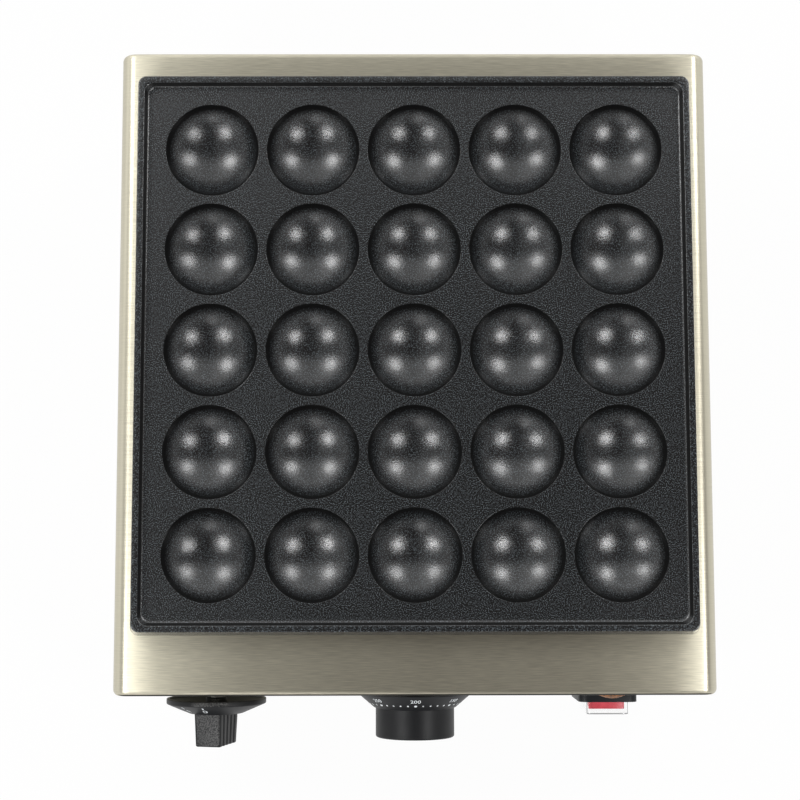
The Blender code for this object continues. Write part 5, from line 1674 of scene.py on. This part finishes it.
@dataclass
class TimerControl:
    """The timer's knob, with a bar grip and a short scale on its skirt, and the nut behind it."""

    skirt_back: float = 0.0045
    skirt_rim: float = 0.0026
    skirt_cone: float = 0.0050
    skirt_wall: float = 0.0016
    skirt_top_radius: float = 0.0137
    skirt_edge: float = 0.0005
    skirt_steps: int = 96
    hub_radius: float = 0.0055
    hub_back: float = 0.0042
    bore: float = 0.0033
    bore_end: float = 0.0167
    bore_steps: int = 48
    nut_edge: float = 0.0003
    grip_length: float = 0.0255
    grip_width: float = 0.0146
    grip_height: float = 0.0161
    grip_corner: float = 0.0014
    grip_draft_scale: float = 0.92
    grip_edge: float = 0.0012
    grip_edge_steps: int = 4
    grip_edge_angle: float = 60.0
    corner_steps: int = 6
    grooves: int = 4
    groove_pitch: float = 0.0051
    groove_width: float = 0.0027
    groove_depth: float = 0.0008
    groove_fullness: float = 0.7
    groove_steps: int = 8
    rest_turn: float = math.radians(15)
    numbers: int = 7
    number_step: float = math.radians(30)
    number_size: float = 0.0052
    scale_turn: float = math.radians(11)
    number_slant: float = 0.0052
    tick_slant: float = 0.0098
    tick_width: float = 0.0007
    tick_length: float = 0.0022

    def grip_outline(self) -> Profile:
        """Returns the grip seen from the front, with rounded grooves down both long sides.

        Returns:
            The points.
        """
        half_width = self.grip_width / 2
        half_length = self.grip_length / 2
        corner = self.grip_corner
        side: Profile = []
        for i in range(self.grooves):
            middle = (i - (self.grooves - 1) / 2) * self.groove_pitch
            for step in range(self.groove_steps + 1):
                t = step / self.groove_steps
                arch = math.sin(math.pi * t) ** self.groove_fullness if 0 < t < 1 else 0.0
                along = middle + (t - 0.5) * self.groove_width
                side.append((half_width - self.groove_depth * arch, along))
        end = arc((half_width - corner, half_length - corner), corner, 0, 90, self.corner_steps)
        far = arc((corner - half_width, half_length - corner), corner, 90, 180, self.corner_steps)
        half = side + end + far
        return half + [(-x, -y) for x, y in half]

    def knob(self, seat: Matrix, radius: float) -> Piece:
        """Returns the skirt, hub and grip as one closed shape.

        Args:
            seat: The knob's place on the panel.
            radius: The skirt's radius.

        Returns:
            The knob.
        """
        rim = self.skirt_back + self.skirt_rim
        top = rim + self.skirt_cone
        wall = self.skirt_wall
        profile = [
            (0.0, top),
            (self.skirt_top_radius, top),
            (radius, rim),
            (radius, self.skirt_back),
            (radius - wall, self.skirt_back),
            (radius - wall, rim - wall),
            (self.skirt_top_radius - wall, top - wall),
            (self.hub_radius, top - wall),
            (self.hub_radius, self.hub_back),
            (0.0, self.hub_back),
        ]
        turned = revolved(rounded(profile, self.skirt_edge), self.skirt_steps)
        skirt = new_object("timer_dial", mesh_from(turned, "timer_dial"))
        end = top + self.grip_height
        bar = extruded(self.grip_outline(), top - wall, end, self.grip_draft_scale)
        bar.transform(Matrix.Rotation(self.rest_turn, 4, "Z"))
        grip = new_object("timer_bar", mesh_from(bar, "timer_bar"))
        bevelled(grip, self.grip_edge, self.grip_edge_steps, self.grip_edge_angle)
        combined(skirt, grip, "UNION")
        outline = [(0.0, 0.0), (self.bore, 0.0), (self.bore, self.bore_end), (0.0, self.bore_end)]
        bore = mesh_from(revolved(outline, self.bore_steps), "timer_bore")
        combined(skirt, new_object("timer_bore", bore), "DIFFERENCE")
        skirt.data.transform(seat)
        return skirt

    def scale(self, seat: Matrix, radius: float, rings: RingTree) -> Piece:
        """Returns the numbers and the ticks beside them.

        Args:
            seat: The knob's place on the panel.
            radius: The skirt's radius.
            rings: The tree that repeats the marks.

        Returns:
            The marks as one object.
        """
        rim = self.skirt_back + self.skirt_rim
        cone = ConeScale(self.skirt_top_radius, rim + self.skirt_cone, radius, rim)
        turns = [-self.scale_turn - self.number_step * i for i in range(self.numbers)]
        pieces: list[Shape | Mesh] = [
            cone.number(str(i), self.number_size, turn, self.number_slant) for i, turn in enumerate(turns)
        ]
        tick = cone.mark(self.tick_width, self.tick_length, self.tick_slant, sides=4)
        pieces.append(rings.marks("timer_ticks", tick, self.numbers, self.scale_turn, self.number_step))
        return merged("timer_scale", pieces, seat)

    def build(self, rings: RingTree) -> None:
        """Builds the knob, its scale and the nut.

        Args:
            rings: The tree that repeats the marks.
        """
        seat = seat_on("timer_nut", corners("casing_shell")[0].y, FACING_FRONT)
        radius = box_size("timer_knob").x / 2
        finished(self.knob(seat, radius), TOP_LIT_KNOB, Slot.KNOB, Body.TIMER, "timer_knob")
        finished(self.scale(seat, radius, rings), PRINT, Slot.KNOB, Body.TIMER)
        softened("timer_nut", "timer_lock_nut", self.nut_edge, BLACKENED, Slot.ZINC)


@dataclass
class ThermostatControl:
    """The thermostat's round knob, with a full scale on its skirt."""

    back: float = 0.0015
    rim: float = 0.0007
    cone: float = 0.0071
    wall: float = 0.0018
    cone_radius: float = 0.0210
    grip_radius: float = 0.0201
    grip_height: float = 0.015
    grip_edge: float = 0.0006
    edge: float = 0.0004
    steps: int = 120
    hub_radius: float = 0.0055
    hub_back: float = 0.003
    bore: float = 0.0033
    bore_end: float = 0.0155
    degrees_per_number: float = 46.0
    lowest: int = 50
    highest: int = 300
    shown_at_top: int = 200
    number_step: int = 50
    number_size: float = 0.0036
    number_slant: float = 0.0071
    dots_per_number: int = 5
    dot_slant: float = 0.0035
    dot_width: float = 0.0009
    dot_length: float = 0.0011
    number_dot: float = 0.0015
    dot_sides: int = 12

    def knob(self, seat: Matrix, radius: float) -> Piece:
        """Returns the skirt, the round grip and the hub as one closed shape.

        Args:
            seat: The knob's place on the panel.
            radius: The skirt's radius.

        Returns:
            The knob.
        """
        rim = self.back + self.rim
        shoulder = rim + self.cone
        end = shoulder + self.grip_height
        inner = shoulder - self.wall
        outside = [
            (0.0, end),
            (self.grip_radius - self.grip_edge, end),
            (self.grip_radius, end - self.grip_edge),
            (self.grip_radius, shoulder),
            (self.cone_radius, shoulder),
            (radius, rim),
            (radius, self.back),
            (radius - self.wall, self.back),
            (self.cone_radius - self.wall, inner),
            (self.grip_radius - self.wall, inner),
            (self.grip_radius - self.wall, end - self.wall),
            (self.hub_radius, end - self.wall),
            (self.hub_radius, self.hub_back),
            (self.bore, self.hub_back),
            (self.bore, self.bore_end),
            (0.0, self.bore_end),
        ]
        turned = mesh_from(revolved(rounded(outside, self.edge), self.steps), "thermostat_dial")
        turned.transform(seat)
        return new_object("thermostat_dial", smoothed(turned))

    def scale(self, seat: Matrix, radius: float, rings: RingTree) -> Piece:
        """Returns the numbers, the row of dots and the larger dots at the numbers.

        Args:
            seat: The knob's place on the panel.
            radius: The skirt's radius.
            rings: The tree that repeats the marks.

        Returns:
            The marks as one object.
        """
        rim = self.back + self.rim
        cone = ConeScale(self.cone_radius, rim + self.cone, radius, rim)
        values = range(self.lowest, self.highest + 1, self.number_step)
        step = math.radians(self.degrees_per_number)
        turns = [(self.shown_at_top - value) / self.number_step * step for value in values]
        pieces: list[Shape | Mesh] = [
            cone.number(str(value), self.number_size, turn, self.number_slant)
            for value, turn in zip(values, turns)
        ]
        shares = self.dots_per_number
        for name, count, gap, width, length in (
            ("dial_dots", (len(turns) - 1) * shares + 1, step / shares, self.dot_width, self.dot_length),
            ("dial_number_dots", len(turns), step, self.number_dot, self.number_dot),
        ):
            dot = cone.mark(width, length, self.dot_slant, self.dot_sides)
            pieces.append(rings.marks(name, dot, count, -turns[0], gap))
        return merged("thermostat_scale", pieces, seat)

    def build(self, rings: RingTree) -> None:
        """Builds the knob and its scale.

        Args:
            rings: The tree that repeats the marks.
        """
        seat = seat_on("thermostat_knob", corners("casing_shell")[0].y, FACING_FRONT)
        radius = box_size("thermostat_knob").x / 2
        finished(self.knob(seat, radius), KNOB, Slot.KNOB, Body.THERMOSTAT, "thermostat_knob")
        finished(self.scale(seat, radius, rings), PRINT, Slot.KNOB, Body.THERMOSTAT)


@dataclass
class SwitchAndLamp:
    """The booted rocker switch in its frame, and the pilot lamp above it."""

    frame_edge: float = 0.0005
    boot_edge: float = 0.0007
    boot_flange: float = 0.00215
    boot_colour: Colour = (0.20, 0.20, 0.21)
    boot_roughness: float = 0.12
    rocker_edge: float = 0.0006
    rocker_edge_angle: float = 25.0
    lens_rim: float = 0.0010
    lens_dome: float = 0.0016
    lens_rings: int = 4
    lens_steps: int = 64
    steps_per_ring: int = 4
    ripples_per_dome: int = 14

    def lens(self) -> Piece:
        """Returns the domed lens with fine rings in its face.

        Returns:
            The lens.
        """
        radius = box_size("pilot_lamp_lens").x / 2
        sphere = (radius**2 + self.lens_dome**2) / (2 * self.lens_dome)
        reach = math.degrees(math.asin(radius / sphere))
        centre = (0.0, self.lens_rim + self.lens_dome - sphere)
        dome = arc(centre, sphere, 90, 90 - reach, self.steps_per_ring * self.lens_rings)
        ripple = self.lens_dome / self.ripples_per_dome
        waved = [
            (r, z - (ripple if i % self.steps_per_ring in (1, 2) and i > 2 else 0.0))
            for i, (r, z) in enumerate(dome)
        ]
        bm = revolved(waved + [(radius, 0.0), (0.0, 0.0)], self.lens_steps)
        bm.transform(seat_on("pilot_lamp_lens", corners("pilot_lamp_lens")[1].y, FACING_FRONT))
        return new_object("lamp_lens", smoothed(mesh_from(bm, "lamp_lens")))

    def clear_finish(self) -> ClearMoulding:
        """Returns the boot's finish, which reads where the boot's upper edge is.

        Returns:
            The finish.
        """
        low, high = corners("switch_boot")
        return ClearMoulding(
            "clear_boot_moulding",
            self.boot_colour,
            self.boot_roughness,
            middle=(low.x + high.x) / 2,
            half=(high.x - low.x) / 2 - self.boot_flange,
            front=low.y,
            top=high.z - self.boot_flange,
        )

    def build(self) -> None:
        """Builds the frame, the boot, the rocker and the lens."""
        softened("switch_frame", "boot_frame", self.frame_edge, HOUSING, Slot.HOUSING, steps=4)
        softened("switch_boot", "clear_boot", self.boot_edge, self.clear_finish(), Slot.BOOT, steps=4)
        softened(
            "switch_rocker",
            "red_rocker",
            self.rocker_edge,
            ROCKER_RED,
            Slot.ROCKER,
            Body.ROCKER,
            steps=3,
            angle=self.rocker_edge_angle,
        )
        finished(self.lens(), AMBER, Slot.LENS, Body.MACHINE, "pilot_lamp_lens")


@dataclass
class RearPanel:
    """The cord gland and the earth stud's nut."""

    edge: float = 0.0004

    def build(self) -> None:
        """Rounds the edges of the gland and of the earth nut."""
        softened("cord_gland", "rear_gland", self.edge, HOUSING, Slot.HOUSING, steps=3)
        softened("earth_nut", "rear_earth_nut", self.edge / 2, BRASS, Slot.BRASS)


@dataclass
class Inside:
    """What the casing hides: each CAD node keeps its shape and gets its own finish."""

    def finishes(self) -> dict[str, Finish]:
        """Returns the finish of each hidden node.

        Returns:
            Each node's name and finish.
        """
        plain = {
            "heating_element": SHEATH,
            "element_clamp_plate": ZINC,
            "insulation_blanket": FIBRE,
            "heat_shield": GALVANISED,
            "thermostat_bulb": COPPER,
            "thermostat_capillary": COPPER,
            "thermostat_body": CERAMIC,
            "thermostat_shaft": ZINC,
            "timer_body": HOUSING,
            "timer_shaft": ZINC,
            "switch_body": HOUSING,
            "pilot_lamp_body": HOUSING,
            "pilot_lamp_clip": ZINC,
            "gland_nut": HOUSING,
            "earth_stud": BRASS,
            "terminal_block": CERAMIC,
            "live_wire": BROWN,
            "switched_wire": BROWN,
            "timer_wire": BROWN,
            "element_wire_left": BROWN,
            "element_wire_right": BLUE,
            "neutral_wire": BLUE,
            "earth_wire": GREEN,
            "lamp_lead": BROWN,
        }
        fixings = {"plate_bolt": 4, "foot_screw": 4, "foot_nut": 4, "thermostat_screw": 2}
        for prefix, count in fixings.items():
            plain.update({f"{prefix}_{i}": ZINC for i in range(1, count + 1)})
        return plain

    def build(self, nodes: dict[str, Piece]) -> None:
        """Puts each finish on its node.

        Args:
            nodes: The CAD nodes' objects by name.
        """
        for name, finish in self.finishes().items():
            if not nodes[name].material_slots:
                nodes[name].data.materials.append(finish.material())
            for slot in nodes[name].material_slots:
                slot.material = finish.material()
            LOG.info("%s: %s", name, finish.name)


@dataclass
class PhotoCamera:
    """The camera that took the photograph, placed over the middle bowl."""

    lens: float = 69.626
    sensor: float = 36.0
    distance: float = 0.7577
    shift_x: float = 0.00717
    shift_y: float = 0.02459
    tilt: float = -0.10041
    pan: float = 0.00535
    roll: float = 0.00205
    nearest: float = 0.01

    def build(self, target: Vector) -> None:
        """Makes the camera the scene's own.

        Args:
            target: The middle bowl's centre on the plate's floor.
        """
        data = bpy.data.cameras.new("photo_camera")
        data.lens = self.lens
        data.sensor_width = self.sensor
        data.clip_start = self.nearest
        camera = new_object("photo_camera", data)
        turn = (
            Matrix.Rotation(self.tilt, 4, "X")
            @ Matrix.Rotation(self.pan, 4, "Y")
            @ Matrix.Rotation(self.roll, 4, "Z")
        )
        offset = Matrix.Translation((-self.shift_x, -self.shift_y, self.distance))
        camera.matrix_world = Matrix.Translation(target) @ turn.inverted() @ offset
        bpy.context.scene.camera = camera


@dataclass(frozen=True)
class SoftBox:
    """A square area lamp: its place from the middle bowl, its side and its power."""

    place: tuple[float, float, float]
    side: float
    power: float


@dataclass
class Studio:
    """A white floor, soft boxes round the object, and a pale room with a dim ceiling."""

    floor_half: float = 3.0
    floor_glow: float = 0.95
    floor_colour: Colour = (0.86, 0.86, 0.86)
    ceiling_colour: Colour = (1.0, 0.84, 0.80)
    ceiling_light: float = 0.035
    ceiling_left: float = 0.33
    ceiling_left_from: Span = (0.02, -0.25)
    ceiling_right: float = 0.11
    ceiling_right_from: Span = (0.08, 0.25)
    ceiling_rear: float = 0.68
    ceiling_rear_from: Span = (0.20, 0.45)
    ceiling_pale: float = 0.25
    wall_top: float = 0.50
    wall_bottom: float = 0.22
    wall_light: float = 0.72
    lamps: tuple[SoftBox, ...] = (
        SoftBox((-0.52, -0.42, 0.60), side=0.20, power=2.25),
        SoftBox((0.50, -0.40, 0.60), side=0.20, power=2.25),
        SoftBox((0.58, 0.46, 0.55), side=0.26, power=2.3),
        SoftBox((-0.60, 0.44, 0.58), side=0.26, power=2.3),
        SoftBox((-0.18, -0.95, 0.42), side=0.20, power=0.4),
    )

    def floor(self) -> None:
        """Makes the floor, which looks white to the camera and keeps the object's shadow."""
        bm = bmesh.new()
        bmesh.ops.create_grid(bm, x_segments=1, y_segments=1, size=self.floor_half)
        floor = new_object("studio_floor", mesh_from(bm, "studio_floor"))
        material = bpy.data.materials.new("pale_floor")
        material.use_nodes = True
        tree = material.node_tree
        tree.nodes.clear()
        sketch = Sketch(tree)
        diffuse = sketch.add("ShaderNodeBsdfDiffuse", {"Color": (*self.floor_colour, 1.0)})
        glow = sketch.add("ShaderNodeEmission", {"Color": WHITE, "Strength": 1.0})
        path = sketch.add("ShaderNodeLightPath")
        seen = sketch.math("MAXIMUM", path.outputs["Is Camera Ray"], path.outputs["Is Transmission Ray"])
        seen = sketch.math("MAXIMUM", seen, path.outputs["Is Glossy Ray"])
        share = sketch.math("MULTIPLY", seen, self.floor_glow)
        mixed = sketch.add("ShaderNodeMixShader", {0: share, 1: diffuse.outputs[0], 2: glow.outputs[0]})
        output = sketch.add("ShaderNodeOutputMaterial", {"Surface": mixed.outputs[0]})
        output.is_active_output = True
        floor.data.materials.append(material)

    def world(self) -> None:
        """Makes the world: pale walls under a dim ceiling for the light, and white to the camera."""
        world = bpy.data.worlds.new("pale_world")
        bpy.context.scene.world = world
        world.use_nodes = True
        tree = world.node_tree
        tree.nodes.clear()
        sketch = Sketch(tree)
        across, back, up = sketch.split(sketch.add("ShaderNodeTexCoord").outputs["Generated"])
        ceiling: Socket | float = self.ceiling_light
        for way, span, light in (
            (across, self.ceiling_left_from, self.ceiling_left),
            (across, self.ceiling_right_from, self.ceiling_right),
            (back, self.ceiling_rear_from, self.ceiling_rear),
        ):
            ceiling = sketch.math("ADD", ceiling, sketch.ramp(way, *span, 0.0, light))
        walls = sketch.ramp(up, self.wall_top, self.wall_bottom)
        strength = sketch.math("ADD", ceiling, sketch.math("MULTIPLY", walls, self.wall_light))
        pale = sketch.ramp(strength, self.ceiling_light, self.ceiling_light + self.ceiling_pale)
        colour = sketch.blend(pale, self.ceiling_colour, WHITE[:3])
        light = sketch.add("ShaderNodeBackground", {"Color": colour, "Strength": strength})
        seen = sketch.add("ShaderNodeBackground", {"Color": WHITE, "Strength": 1.0})
        path = sketch.add("ShaderNodeLightPath")
        inputs = {0: path.outputs["Is Camera Ray"], 1: light.outputs[0], 2: seen.outputs[0]}
        mixed = sketch.add("ShaderNodeMixShader", inputs)
        sketch.add("ShaderNodeOutputWorld", {"Surface": mixed.outputs[0]})

    def lamp(self, name: str, box: SoftBox, target: Vector) -> None:
        """Makes one soft box that looks at the target.

        Args:
            name: The lamp's name.
            box: Its place, side and power.
            target: Where it looks.
        """
        data = bpy.data.lights.new(name, "AREA")
        data.size = box.side
        data.energy = box.power
        lamp = new_object(name, data)
        lamp.location = target + Vector(box.place)
        lamp.rotation_euler = (-Vector(box.place)).to_track_quat("-Z", "Y").to_euler()

    def build(self, target: Vector) -> None:
        """Makes the floor, the world and the lamps, and sets a plain view transform.

        Args:
            target: The middle bowl's centre on the plate's floor.
        """
        bpy.context.scene.view_settings.view_transform = "Standard"
        self.floor()
        self.world()
        for i, box in enumerate(self.lamps, 1):
            self.lamp(f"soft_box_{i}", box, target)


def main() -> None:
    """Builds every sub-assembly in order and reports each piece."""
    logging.basicConfig(level=logging.INFO, format="%(message)s")
    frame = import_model()
    NODES.update({name: obj.name for name, obj in frame["nodes"].items()})
    plate = BakingPlate()
    middle = box_centre("baking_plate")
    target = Vector((middle.x, middle.y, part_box("baking_plate")[1][2] - plate.rim_height))
    PhotoCamera().build(target)
    Studio().build(target)
    rings, rows = RingTree(), RowTree()
    Inside().build(frame["nodes"])
    plate.build(GridTree())
    Casing().build(rows)
    Underside().build(PlaceTree())
    TimerControl().build(rings)
    ThermostatControl().build(rings)
    SwitchAndLamp().build()
    RearPanel().build()


if __name__ == "__main__":
    main()
